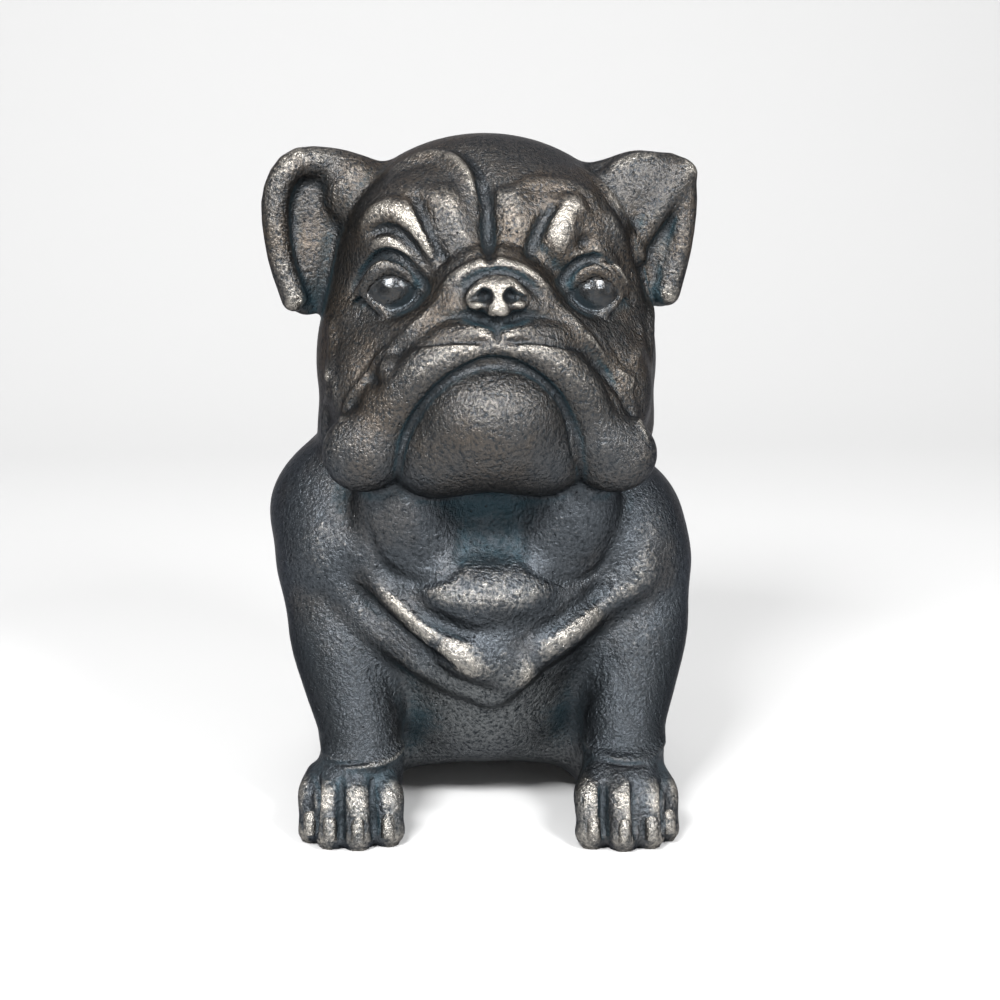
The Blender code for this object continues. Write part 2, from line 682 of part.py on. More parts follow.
def drawing_rays(path):
    """The eye's place, and the direction from it through each point of a path on the front drawing."""
    side, lift = math.radians(EYE_SIDE), math.radians(EYE_LIFT)
    back = Vector((math.sin(side) * math.cos(lift), -math.cos(side) * math.cos(lift), math.sin(lift)))
    right = Vector((math.cos(side), math.sin(side), 0))
    up = back.cross(right)
    eye = Vector(EYE_AIM) + back * EYE_DISTANCE
    across, above = DRAWING_CENTRE
    rays = [-back * DRAWING_DEPTH + right * (u - across) + up * (v - above) for u, v in path]
    return eye, [ray.normalized() for ray in rays]


def laid_on_skin(surface, path):
    """A drawn path's points where they fall on the skin, and the skin's normals there."""
    smooth_path = curve_points([(u, v, 0) for u, v in path], STROKE_STEPS)[:, :2]
    eye, rays = drawing_rays(smooth_path)
    hits = [surface.ray_cast(eye, ray) for ray in rays]
    found = [(place, normal) for place, normal, _, _ in hits if place is not None]
    return np.array([p for p, _ in found]), np.array([n for _, n in found])


def stroke_offsets(points, normals, line, line_normals, stroke):
    """How far one stroke moves each point along its normal. It fades out at both of its ends."""
    low, high = line.min(axis=0) - 2 * stroke.width, line.max(axis=0) + 2 * stroke.width
    near = np.all((points > low) & (points < high), axis=1).nonzero()[0]
    gap = np.full(len(near), FAR)
    place = np.zeros(len(near))
    facing = np.ones(len(near))
    spans = len(line) - 1
    for index in range(spans):
        a, b = line[index], line[index + 1]
        step = b - a
        along = np.clip((points[near] - a) @ step / max(step @ step, 1e-9), 0, 1)
        far = np.linalg.norm(points[near] - a - along[:, None] * step, axis=1)
        closer = far < gap
        gap[closer] = far[closer]
        place[closer] = (index + along[closer]) / spans
        facing[closer] = normals[near[closer]] @ line_normals[index]
    share = np.clip(1 - (gap / (2 * stroke.width)) ** 2, 0, 1)
    profile = share**2 if stroke.height > 0 else share**3
    fade = np.clip(np.minimum(place, 1 - place) / STROKE_FADE, 0, 1)
    offsets = np.zeros(len(points))
    offsets[near] = stroke.height * profile * fade * (2 - fade) * np.clip(facing * 3, 0, 1)
    return offsets


def draw_on(statue, strokes):
    """All the strokes of one list, pressed into the skin or built up on it together."""
    points, normals = read_skin(statue)
    surface = BVHTree.FromPolygons(points.tolist(), [tuple(f.vertices) for f in statue.data.polygons])
    offsets = np.zeros(len(points))
    for stroke in strokes:
        line, line_normals = laid_on_skin(surface, stroke.path)
        if len(line) > 1:
            offsets += stroke_offsets(points, normals, line, line_normals, stroke)
    move_skin(statue, points + normals * offsets[:, None])


def clear_scene():
    for thing in list(bpy.data.objects):
        bpy.data.objects.remove(thing)


def bronze():
    metal = bpy.data.materials.new("dark bronze finish")
    metal.use_nodes = True
    shader = metal.node_tree.nodes["Principled BSDF"]
    shader.inputs["Base Color"].default_value = BRONZE
    shader.inputs["Metallic"].default_value = 0.7
    shader.inputs["Roughness"].default_value = 0.5
    return metal


def flatten_base(statue):
    """All that reaches down to the ground, or nearly, is cut level with it."""
    points, _ = read_skin(statue)
    points[points[:, 2] < GROUND_CUT, 2] = 0
    move_skin(statue, points)


def sculpt():
    pieces = [*trunk(), *forelegs(), *throat_and_chest(), *head(), *ears()]
    statue = block_out(pieces)
    reclay(statue, ROUGH_CLAY)
    smooth(statue, 4)
    settle(statue, pieces)
    reclay(statue, FINE_CLAY)
    settle(statue, pieces, 3)
    smooth(statue, 2)
    draw_on(statue, CLAY_STROKES)
    smooth(statue, 2)
    draw_on(statue, CREASES)
    flatten_base(statue)
    return statue


def cast(statue):
    """The finished clay, thinned to what the cast keeps, at its real size and over the origin."""
    triangles = sum(len(face.vertices) - 2 for face in statue.data.polygons)
    thin = statue.modifiers.new("thin", "DECIMATE")
    thin.ratio = CAST_TRIANGLES / triangles
    apply_modifiers(statue)
    flatten_base(statue)
    points, _ = read_skin(statue)
    middle = (points.min(axis=0) + points.max(axis=0)) / 2
    statue.data.transform(Matrix.Scale(UNIT, 4) @ Matrix.Translation((-middle[0], -middle[1], 0)))
    statue.data.shade_smooth()
    statue.data.materials.append(bronze())
    return statue


def main():
    clear_scene()
    cast(sculpt())


if __name__ == "__main__":
    main()
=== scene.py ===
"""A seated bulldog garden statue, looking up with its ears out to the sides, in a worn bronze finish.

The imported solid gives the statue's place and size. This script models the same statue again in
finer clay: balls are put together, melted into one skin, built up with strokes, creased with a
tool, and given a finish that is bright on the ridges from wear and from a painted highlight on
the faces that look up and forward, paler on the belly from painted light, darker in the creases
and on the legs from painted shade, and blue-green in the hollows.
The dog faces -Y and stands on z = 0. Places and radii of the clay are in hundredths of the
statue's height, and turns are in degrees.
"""

import json
import math
from collections import namedtuple

import bmesh
import bpy
import numpy as np
from bpy.props import FloatProperty, FloatVectorProperty, IntProperty, PointerProperty
from mathutils import Euler, Matrix, Vector
from mathutils.bvhtree import BVHTree

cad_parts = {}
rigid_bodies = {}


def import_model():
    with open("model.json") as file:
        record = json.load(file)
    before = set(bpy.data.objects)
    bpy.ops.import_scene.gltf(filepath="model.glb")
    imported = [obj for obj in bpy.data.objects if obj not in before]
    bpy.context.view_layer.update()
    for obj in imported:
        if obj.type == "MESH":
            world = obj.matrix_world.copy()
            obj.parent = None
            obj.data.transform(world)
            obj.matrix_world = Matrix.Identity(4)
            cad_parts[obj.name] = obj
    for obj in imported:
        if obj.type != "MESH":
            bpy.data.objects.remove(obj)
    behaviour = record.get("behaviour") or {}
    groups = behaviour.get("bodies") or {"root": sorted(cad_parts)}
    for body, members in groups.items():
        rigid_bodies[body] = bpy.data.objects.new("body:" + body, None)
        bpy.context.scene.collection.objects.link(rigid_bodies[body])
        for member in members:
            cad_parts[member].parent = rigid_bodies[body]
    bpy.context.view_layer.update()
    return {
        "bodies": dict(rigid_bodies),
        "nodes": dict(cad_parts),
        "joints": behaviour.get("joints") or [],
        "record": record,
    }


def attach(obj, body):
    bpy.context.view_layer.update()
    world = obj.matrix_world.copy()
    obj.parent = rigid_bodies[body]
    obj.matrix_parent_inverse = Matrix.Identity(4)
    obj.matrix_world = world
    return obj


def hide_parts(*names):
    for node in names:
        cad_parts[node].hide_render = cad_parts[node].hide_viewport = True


bl_info = {
    "name": "Garden bulldog",
    "version": (1, 0, 0),
    "blender": (4, 5, 0),
    "location": "3D View > Sidebar > Garden bulldog",
    "description": "Models a cast bulldog garden statue and a plain studio round it",
    "category": "Object",
}

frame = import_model()
UNIT = 0.0036

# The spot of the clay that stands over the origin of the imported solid.
CLAY_MIDDLE = (0.035, 3.891)

# How far out from the skin the shelter of a hollow is felt.
SHELTER_STEPS = (1.5, 4.0, 8.0)

# The face and chest were drawn from the front, by an eye a little above and left of the dog.
EYE_DISTANCE = 340.0
EYE_LIFT = 12.0
EYE_SIDE = -4.0
EYE_AIM = (2.9, 0.0, 45.3)
SENSOR_WIDTH = 36.0
LENS_REACH = 2.24
DRAWING_DEPTH = 320.0
DRAWING_CENTRE = (1.43, 49.57)

# The face and forelegs lean a touch to the dog's left.
FACE_SHIFT = 0.8
LEG_SHIFT = 0.4

EYE_CENTRE = (14.0, -13.2, 79.0)

# The paw's middle and front, how far the left one steps forward, and each toe's place across it,
# its girth, and how far its tip stays back.
PAW_CENTRE = 19.9
PAW_FRONT = -26.2
PAW_STEP = 3.0
TOES = ((5.9, 1.6, 3.4), (3.1, 1.9, 0.7), (-0.9, 2.2, 0.0), (-5.2, 2.2, 1.3))

# The throat between the dewlaps, where the blue-green is deepest.
THROAT_MIDDLE = (0.4, -15.0, 46.0)
THROAT_SPREAD = (5.5, 9.0, 8.0)

# How high on the toe its claw starts, and how far in front of the toe's tip.
CLAW_HEIGHT = 4.3
CLAW_SET = 1.0

# How far the ears reach out to each side.
EAR_REACH = 30.0

# A stroke is laid in this many steps, and fades over this share of its length at each end.
STROKE_STEPS = 28
STROKE_FADE = 0.3

# Clay this near the ground is pressed flat on it.
GROUND_CUT = 0.3

# Distances in the blended form: beyond NEAR a piece isn't felt, and FAR stands for nowhere near.
NEAR = 2.0
FAR = 1e3

Lump = namedtuple("Lump", "name centre radii turn blend cut", defaults=((0, 0, 0), 4.0, False))
Roll = namedtuple("Roll", "name path radii blend", defaults=(2.5,))
Group = namedtuple("Group", "name pieces blend")
Stroke = namedtuple("Stroke", "name path width height")


def mirrored(piece):
    """The same piece on the dog's other side."""
    if isinstance(piece, Group):
        return piece._replace(pieces=[mirrored(part) for part in piece.pieces])
    if isinstance(piece, Roll):
        return piece._replace(path=[(-x, y, z) for x, y, z in piece.path])
    x, y, z = piece.centre
    tilt, roll, yaw = piece.turn
    return piece._replace(centre=(-x, y, z), turn=(tilt, -roll, -yaw))


def moved(piece, shift):
    if isinstance(piece, Group):
        return piece._replace(pieces=[moved(part, shift) for part in piece.pieces])
    if isinstance(piece, Roll):
        return piece._replace(path=[tuple(a + b for a, b in zip(place, shift)) for place in piece.path])
    return piece._replace(centre=tuple(a + b for a, b in zip(piece.centre, shift)))


def pair(*pieces):
    return [side for piece in pieces for side in (piece, mirrored(piece))]


def trunk():
    return [
        Lump("rib cage", (0, 0, 36), (23, 20, 21)),
        Lump("back", (0, 13.5, 40), (21, 16.5, 28), (-12, 0, 0), 6),
        Lump("belly", (0, 0, 23), (20.5, 16.5, 18.4), (0, 0, 0), 5),
        Lump("rump", (0, 22, 15.4), (22.5, 15.8, 18.5), (0, 0, 0), 9),
        Roll("tail", [(0, 31, 15), (1.5, 35, 13), (4.5, 36.4, 9.6), (7.5, 35, 7.6)], (4.4, 3.9, 3.2, 2.3), 3),
        *pair(
            Lump("thigh", (17.4, 9, 14.5), (8.9, 16, 13.5), (14, 0, 0), 3),
            Lump("knee", (18, -3, 10), (7, 9, 9.5), (0, 0, 0), 3),
            Lump("hind foot", (20.2, -5, 3.2), (5, 12, 5), (0, 0, 0), 2),
            Lump("lap", (9.6, 2, 9.8), (7, 9, 6), (0, 0, 0), 4),
        ),
        Lump("right nape", (-18.2, 3, 49.0), (14, 13, 8.4), (0, -27, 0), 4),
        Lump("left nape", (16.0, 3, 46.2), (13.2, 13, 8.1), (0, 29, 0), 4),
        Lump("breast bone", (0, -11.5, 30), (15, 9.5, 9.5), (0, 0, 0), 5),
        Lump("throat", (0, -2.6, 45.5), (21.5, 12.4, 9.5), (0, 0, 0), 5),
    ]


def foreleg():
    """The dog's left foreleg, with its foot left out."""
    return [
        Lump("shoulder", (21.6, -1, 39.6), (9.4, 14, 11.2), (0, 0, 0), 5),
        Roll(
            "foreleg",
            [(22.0, -4, 35), (21.9, -7, 27.5), (20.8, -10.5, 21), (19.6, -14.5, 15), (19.2, -17, 10)],
            (8.2, 8.1, 7.2, 6.2, 6.0),
            4,
        ),
        Lump("wrist", (19.2, -18, 12.6), (6.1, 6.0, 0.9), (14, 0, 0), 1.0),
    ]


def toe(side, girth, curl):
    x = PAW_CENTRE + side
    tip = PAW_FRONT + curl
    return [
        Roll(
            "toe",
            [
                (x - 0.15 * side, tip + 5.4, 8.6),
                (x, tip + 2.0, 6.8),
                (x, tip + 0.5, 3.8),
                (x, tip + 0.2, girth),
            ],
            (0.85 * girth, 1.1 * girth, 1.05 * girth, 1.15 * girth),
            0.35,
        ),
        Roll(
            "claw",
            [(x, tip - 1.3, 4.4), (x, tip - 2.0, 3.3), (x, tip - 2.4, 2.1)],
            (0.45, 0.7, 0.35),
            0.25,
        ),
    ]


def paw():
    toes = [piece for place in TOES for piece in toe(*place)]
    return [
        Lump("paw", (PAW_CENTRE, -18.8, 5.2), (7.3, 7.6, 6.4), (14, 0, 0), 2),
        Lump("sole", (PAW_CENTRE, -20.6, 1.4), (6.9, 6.4, 2.2), (0, 0, 0), 1.2),
        Group("toes", toes, 0.8),
    ]


def forelegs():
    """Both forelegs. The dog's left paw stands a little further forward."""
    shoulder, *lower_leg = foreleg()
    legs = pair(shoulder) + [moved(piece, (2 * LEG_SHIFT, 0, 0)) for piece in pair(*lower_leg)]
    right_paw = [moved(mirrored(piece), (-LEG_SHIFT, 0, 0)) for piece in paw()]
    left_paw = [moved(piece, (-LEG_SHIFT, -PAW_STEP, 0)) for piece in paw()]
    return legs + right_paw + left_paw


def throat_and_chest():
    return [
        *pair(Lump("dewlap", (11.4, -13.8, 47.6), (7.8, 5.9, 10.4), (0, 4, 0), 3.0)),
        Lump("throat hollow", (0.4, -20.4, 48.6), (5.4, 5.2, 8.6), (0, 0, 0), 5.0, True),
        Lump("breast roll", (-0.2, -18.8, 36.0), (8.8, 5.0, 3.8), (26, 0, 0), 2.6),
    ]


def eye():
    """The dog's left eye."""
    x, y, z = EYE_CENTRE
    upper = [
        (6.2, 1.9, -2.0), (4.3, -0.5, 0.4), (2.4, -1.8, 2.8), (0.3, -2.1, 3.6), (-1.6, -2.3, 2.9),
        (-3.5, -1.9, 0.9), (-4.9, -0.4, -1.2),
    ]
    lower = [
        (4.4, -0.6, -0.6), (3.0, -1.7, -1.9), (1.3, -2.1, -3.0), (-0.6, -1.9, -3.4),
        (-2.2, -1.9, -2.7), (-3.6, -1.4, -1.4), (-4.8, -0.4, -0.9),
    ]
    return [
        Lump("eye socket", (x, y - 4, z + 0.4), (4.1, 3, 3.3), (0, 0, 0), 1.5, True),
        Lump("eyeball", (x, y + 0.4, z), (4.0, 3.9, 3.7), (0, 0, 0), 0.25),
        moved(Roll("upper lid", upper, (0.4, 0.85, 1.15, 1.2, 1.05, 0.75, 0.4), 0.6), EYE_CENTRE),
        moved(Roll("lower lid", lower, (0.3, 0.5, 0.6, 0.65, 0.6, 0.5, 0.35), 0.6), EYE_CENTRE),
    ]


def head():
    lips = [
        Roll(
            "right lip",
            [
                (0, -25.4, 72.6), (-4.6, -25.4, 71.8), (-9.2, -24.4, 69.4), (-12.0, -23.0, 66.4),
                (-14.8, -21.8, 62.4), (-17, -20.8, 58),
            ],
            (2.1, 2.6, 3.4, 3.7, 3.7, 4.2),
            1.0,
        ),
        Lump("right flew", (-18.7, -20.2, 56.8), (5.8, 4.6, 5.7), (0, 0, 0), 2.6),
        Lump("right flew lump", (-16.6, -20.4, 63.6), (2.4, 3.4, 2.9), (0, 0, 0), 0.7),
        Lump("right flew upper lump", (-14.4, -20.8, 68.4), (2.2, 3.2, 2.4), (0, 0, 0), 0.7),
        Roll(
            "left lip",
            [
                (0, -25.4, 72.6), (4.6, -25.4, 71.6), (8.4, -24.6, 69.2), (11.2, -23.4, 66),
                (13, -22.4, 62.5), (14.4, -21.6, 59),
            ],
            (2.1, 2.5, 3.2, 3.5, 3.5, 3.9),
            1.0,
        ),
        Lump("left flew", (17.0, -20.4, 56.1), (6.1, 4.6, 5.5), (0, 0, 0), 2.6),
        Roll(
            "left lip rim",
            [(13.4, -21.8, 67), (15.4, -21.2, 64.8), (17, -20.8, 62.2), (17.6, -20.6, 59.4)],
            (1.0, 1.2, 1.2, 1.2),
            0.7,
        ),
    ]
    chin = [
        Lump("upper chin", (-0.5, -22, 62.6), (10.2, 9.8, 8.0)),
        Lump("lower chin", (-1.2, -17.6, 57.2), (12.8, 10.8, 6.2), (0, 0, 0), 6),
        Lump("right chin corner", (-9.2, -16.2, 55.2), (5.2, 8.4, 4.6), (0, 0, 0), 6),
        Lump("left chin corner", (7.4, -16.2, 55.2), (5.2, 8.4, 4.6), (0, 0, 0), 6),
    ]
    nose = [
        Lump("nose pad", (0, -23.4, 79.4), (4.0, 3.5, 2.9)),
        *pair(Lump("nostril wing", (2.7, -24.7, 78.9), (1.7, 2.2, 1.7), (0, 0, 0), 0.5)),
        Lump("nose tip", (0.1, -25.6, 77.8), (1.8, 2.0, 2.1), (0, 0, 0), 0.4),
        *pair(
            Lump("nostril", (1.85, -27.4, 79.5), (1.15, 3, 1.15), (0, 0, 0), 0.3, True),
            Lump("nostril slit", (3.4, -27, 79.1), (1.7, 2.2, 0.5), (0, 24, 0), 0.25, True),
        ),
    ]
    pieces = [
        Lump("neck", (0, 5, 58), (21, 18.5, 18), (0, 0, 0), 7),
        Lump("skull", (0, 3, 82), (22.3, 19, 18.2), (0, 0, 0), 5),
        *pair(
            Lump("cheek", (13, -1, 67), (12.3, 15, 18.5), (0, 0, 0), 4),
            Lump("jowl", (14.2, -3, 57.5), (10.4, 12, 8), (0, 0, 0), 3),
            Lump("cheek pad", (16.6, -13, 64), (6.5, 6.5, 8), (0, 0, 0), 4),
            Lump("brow", (10, -8, 86), (9, 8, 8), (-20, 0, 0), 5),
        ),
        Lump("muzzle", (0, -13.5, 70.5), (17, 12.5, 9.5), (-15, 0, 0), 4),
        Lump("nose bridge", (0, -18, 78), (8.5, 6, 7), (0, 0, 0), 3),
        Lump("lower jaw", (0, -12.5, 57.5), (17, 8.5, 8), (0, 0, 0), 2),
        Group("lips", lips, 2.2),
        Group("chin", chin, 0.5),
        Group("nose", nose, 0.5),
        Lump("brow dimple", (13.4, -16.4, 85.5), (1.6, 1.7, 1.5), (0, 0, 0), 0.9, True),
        *[mirrored(piece) for piece in eye()],
        *[moved(piece, (0.4, 0, -0.5)) for piece in eye()],
    ]
    return [moved(piece, (FACE_SHIFT, 0, 0)) for piece in pieces]


def ears():
    tip = EAR_REACH
    return [
        Roll(
            "right ear rim",
            [
                (-14, 4, 92.6),
                (-20.5, 2, 95.4),
                (3.0 - tip, 0.6, 95.9),
                (-tip, 0, 91),
                (0.4 - tip, -0.8, 83),
                (2.4 - tip, -1.5, 76.4),
            ],
            (3, 2.5, 2.2, 2.1, 1.9, 1.9),
            1.5,
        ),
        Lump("right ear back", (-23.5, 3, 87), (8.4, 2.4, 10.5), (0, 8, 0), 1.5),
        Lump("right ear lobe", (-25.4, 2, 80), (4.6, 2.2, 6.5), (0, 6, 0), 1.5),
        Lump("right ear root", (-18.8, 0.5, 91.8), (4, 3, 4.6), (0, 20, 0), 1.5),
        Roll(
            "left ear rim",
            [
                (14, 4, 91.8),
                (21, 2, 94.4),
                (tip - 1.4, 0.6, 95.2),
                (tip + 0.2, 0, 91.5),
                (tip - 0.4, -0.8, 84),
                (tip - 2.4, -1.5, 77),
            ],
            (3, 2.4, 2.0, 2.0, 1.9, 2.1),
            1.5,
        ),
        Lump("left ear back", (24.4, 2.4, 86.5), (7.4, 2.8, 11), (0, -8, 0), 1.5),
        Lump("left ear lobe", (26.4, 0.6, 81), (3.6, 2.2, 6.5), (0, -8, 0), 1.5),
        Lump("left ear root", (20.4, -0.6, 87.6), (3.4, 3, 5.2), (0, -12, 0), 1.5),
        Lump("left ear flap", (22.4, -0.6, 91), (7.6, 2.6, 5.8), (0, -38, 0), 1.2),
        Roll("left ear fold", [(30.6, -0.4, 94.6), (26, -2.0, 89), (22.4, -2.2, 83)], (1.3, 1.7, 1.4), 1.4),
    ]


CLAY_STROKES = [
    Stroke("outer brow roll, right", [
        (-19.0, 86.4), (-17.4, 89.3), (-15.0, 91.0), (-12.4, 90.3), (-10.0, 87.9), (-8.1, 84.6),
        (-6.7, 80.7),
    ], 1.5, 1.2),
    Stroke("lid roll, right", [
        (-17.9, 85.3), (-15.0, 86.3), (-12.6, 85.3), (-10.6, 83.0), (-8.6, 79.9),
    ], 1.0, 0.6),
    Stroke("forehead fold, right", [
        (-15.7, 95.0), (-12.1, 97.4), (-8.6, 98.6), (-5.7, 98.1), (-3.4, 96.0), (-2.0, 93.0),
        (-1.0, 89.0),
    ], 1.2, 1.0),
    Stroke("inner brow roll, right", [(-7.3, 95.0), (-5.6, 91.0), (-4.0, 87.0), (-2.9, 83.8)], 2.1, 1.3),
    Stroke("inner brow roll, left", [(1.9, 94.6), (3.2, 90.0), (3.0, 84.4)], 2.1, 1.3),
    Stroke("outer brow roll, left", [(14.0, 91.9), (11.4, 91.0), (10.1, 87.9), (9.0, 82.7)], 1.6, 1.2),
    Stroke("far brow roll, left", [(16.6, 91.3), (18.6, 87.0), (20.3, 82.1), (21.4, 77.4)], 1.3, 0.6),
    Stroke("lid roll, left", [
        (10.4, 82.4), (12.6, 84.4), (14.6, 85.3), (16.9, 84.1), (19.1, 81.0), (21.1, 77.9),
    ], 0.9, 0.5),
    Stroke("forehead fold, left", [
        (3.1, 94.0), (6.0, 95.0), (9.4, 95.0), (12.9, 93.9), (15.7, 91.6),
    ], 1.0, 0.45),
    Stroke("nose fold", [
        (-7.6, 77.4), (-6.1, 80.4), (-3.4, 82.4), (0.0, 83.4), (3.1, 83.0), (6.0, 81.7), (8.6, 79.1),
        (10.3, 76.4),
    ], 0.9, 0.6),
    Stroke("nose fold end, right", [
        (-7.1, 78.1), (-10.0, 75.3), (-12.9, 72.4), (-16.0, 69.9),
    ], 0.7, 0.4),
    Stroke("nose fold end, left", [(9.7, 77.4), (12.1, 75.0), (14.6, 71.7), (16.6, 68.1)], 0.7, 0.4),
    Stroke("upper muzzle roll, right", [(-9.3, 73.0), (-3.6, 74.0), (0.3, 73.3)], 0.8, 0.5),
    Stroke("upper muzzle roll, left", [(1.9, 73.3), (6.4, 74.0), (12.1, 73.0)], 0.8, 0.5),
    Stroke("cheek line, right", [(-15.0, 71.7), (-17.1, 67.9), (-20.0, 64.1), (-21.4, 60.3)], 0.6, 0.5),
    Stroke("cheek line, left", [
        (13.3, 73.9), (16.3, 69.9), (18.6, 65.0), (20.9, 61.0), (22.9, 58.1),
    ], 0.6, 0.5),
    Stroke("second cheek line, left", [
        (14.6, 74.6), (17.4, 69.9), (20.3, 63.9), (21.7, 59.6),
    ], 0.5, 0.35),
    Stroke("side fold, left", [
        (12.1, 97.7), (16.0, 94.1), (19.3, 89.0), (21.6, 83.6), (22.7, 77.4), (23.1, 66.7),
    ], 0.9, 0.9),
    Stroke("side fold, right", [(-22.9, 73.9), (-22.6, 68.1), (-23.4, 62.4), (-24.0, 58.1)], 0.8, 0.6),
    Stroke("upper cheek pleat, right", [(-22.9, 75.3), (-22.5, 73.4), (-21.9, 71.7)], 0.7, 0.45),
    Stroke("lower cheek pleat, right", [(-23.6, 68.9), (-22.3, 66.4), (-22.1, 62.4)], 0.7, 0.45),
    Stroke("upper cheek pleat, left", [(21.4, 75.3), (21.6, 72.0), (20.3, 68.9)], 0.7, 0.45),
    Stroke("lower cheek pleat, left", [(17.9, 68.1), (20.0, 66.7), (19.7, 65.0)], 0.7, 0.45),
    Stroke("inner mantle fold, right", [
        (-21.0, 46.0), (-18.3, 41.3), (-15.0, 37.1), (-12.1, 34.3), (-8.6, 30.9), (-5.0, 28.3),
        (-1.1, 26.3), (3.0, 26.0),
    ], 1.8, 1.7),
    Stroke("outer mantle fold, right", [
        (-23.6, 38.4), (-20.0, 34.4), (-15.7, 29.9), (-12.1, 27.1), (-8.6, 24.9), (-4.6, 22.9),
        (0.3, 21.7), (4.0, 22.8),
    ], 1.5, 1.1),
    Stroke("mantle fold, left", [
        (24.3, 41.7), (21.0, 38.1), (17.4, 35.6), (14.3, 33.0), (10.7, 30.1), (7.1, 27.6), (3.6, 24.7),
        (0.6, 22.1), (-2.6, 20.8),
    ], 2.0, 1.8),
    Stroke("mantle middle", [(-7.0, 30.0), (-2.6, 27.2), (1.6, 26.6), (5.4, 28.6)], 3.8, 1.8),
]

CREASES = [
    Stroke("scalp hollow", [(-4.4, 100.4), (-2.4, 98.2), (-1.2, 95.4), (-0.5, 91.0)], 1.2, -0.7),
    Stroke("middle furrow", [
        (-1.0, 95.6), (-0.5, 92.6), (-0.3, 89.0), (-0.2, 86.0), (0.0, 83.0),
    ], 0.8, -1.0),
    Stroke("brow furrow, right", [(-11.1, 93.9), (-9.4, 90.1), (-7.6, 86.1), (-6.3, 83.3)], 0.85, -0.9),
    Stroke("lid furrow, right", [
        (-18.0, 87.3), (-15.4, 88.3), (-13.1, 87.9), (-10.9, 85.6), (-8.6, 82.1),
    ], 0.7, -0.8),
    Stroke("brow furrow, left", [(9.7, 92.4), (7.9, 90.1), (6.4, 87.0), (5.3, 83.6)], 0.85, -0.9),
    Stroke("upper lid crease, right", [
        (-20.6, 77.7), (-19.1, 80.9), (-17.0, 83.4), (-14.6, 84.7), (-12.3, 83.7), (-10.3, 81.4),
        (-8.4, 79.1),
    ], 0.7, -0.9),
    Stroke("upper lid crease, left", [
        (9.4, 79.6), (11.6, 82.7), (14.1, 84.0), (16.6, 83.4), (18.9, 80.6), (20.9, 77.3),
    ], 0.7, -0.9),
    Stroke("nose rim", [
        (-4.6, 76.4), (-4.1, 79.3), (-2.0, 81.3), (0.9, 82.1), (4.0, 81.4), (6.6, 79.4), (7.9, 76.4),
    ], 0.75, -0.5),
    Stroke("muzzle top crease", [
        (-8.6, 75.0), (-4.0, 76.1), (1.0, 75.1), (6.3, 76.1), (11.7, 75.0),
    ], 0.6, -0.7),
    Stroke("upper muzzle crease, right", [(-10.3, 71.7), (-5.0, 72.4), (0.6, 72.0)], 0.5, -0.6),
    Stroke("upper muzzle crease, left", [(1.6, 72.0), (7.1, 72.3), (14.3, 70.7)], 0.5, -0.6),
    Stroke("philtrum", [(1.0, 75.9), (1.1, 71.6)], 0.45, -0.6),
    Stroke("mouth", [
        (-13.4, 51.9), (-12.7, 55.3), (-12.1, 58.1), (-11.1, 61.0), (-9.0, 63.9), (-6.3, 66.7),
        (-2.3, 69.1), (1.0, 69.7), (4.3, 68.9), (7.4, 66.7), (9.9, 63.9), (11.0, 61.0), (11.6, 58.1),
        (12.0, 55.3), (13.7, 52.1),
    ], 0.5, -0.45),
    Stroke("dewlap edge, right", [
        (-17.7, 48.9), (-17.0, 43.6), (-14.9, 40.1), (-11.1, 38.1), (-7.4, 38.1), (-5.0, 39.6),
        (-4.1, 43.1), (-4.0, 47.4),
    ], 0.8, -0.35),
    Stroke("dewlap edge, left", [
        (4.6, 47.4), (4.4, 43.4), (5.4, 40.4), (8.0, 38.6), (11.4, 38.0), (14.6, 38.9), (16.9, 41.7),
        (17.7, 46.0),
    ], 0.8, -0.35),
    Stroke("toe groove, right outer", [(-24.6, 10.3), (-24.7, 6.0), (-24.9, 1.3)], 0.45, -0.9),
    Stroke("toe groove, right middle", [(-21.3, 9.9), (-21.3, 5.3), (-21.3, 1.0)], 0.45, -0.9),
    Stroke("toe groove, right inner", [(-16.9, 9.9), (-16.7, 5.6), (-16.6, 1.0)], 0.45, -0.9),
    Stroke("toe groove, left inner", [(16.1, 9.6), (16.1, 5.0), (16.0, 1.3)], 0.45, -0.9),
    Stroke("toe groove, left middle", [(20.6, 9.6), (20.7, 5.0), (21.0, 0.6)], 0.45, -0.9),
    Stroke("toe groove, left outer", [(24.6, 9.6), (24.7, 5.0), (24.9, 1.3)], 0.45, -0.9),
    Stroke("wrist crease, right", [(-24.0, 12.0), (-20.7, 11.9), (-16.9, 12.3)], 0.4, -0.5),
    Stroke("wrist crease, left", [(15.7, 12.7), (18.9, 11.9), (22.3, 12.0)], 0.4, -0.5),
    Stroke("mantle hollow, right", [
        (-16.9, 41.0), (-12.9, 36.4), (-8.6, 32.9), (-3.4, 30.7), (1.4, 30.4),
    ], 1.1, -0.7),
    Stroke("fold hollow, right", [
        (-20.0, 38.1), (-16.0, 34.4), (-12.1, 30.7), (-8.3, 27.6), (-4.0, 24.7),
    ], 0.9, -0.6),
    Stroke("mantle hollow, left", [(5.7, 30.1), (10.0, 32.4), (14.0, 35.3), (17.4, 38.1)], 1.1, -0.7),
    Stroke("shoulder hollow, right", [
        (-29.4, 36.1), (-25.7, 35.9), (-22.1, 34.4), (-18.6, 30.7),
    ], 1.8, -0.35),
    Stroke("shoulder hollow, left", [
        (27.4, 36.4), (24.3, 35.0), (20.9, 33.3), (17.4, 30.7),
    ], 1.8, -0.35),
    Stroke("leg groove, left", [(17.4, 27.4), (19.0, 23.6), (20.1, 20.1), (21.3, 16.4)], 1.1, -0.25),
]


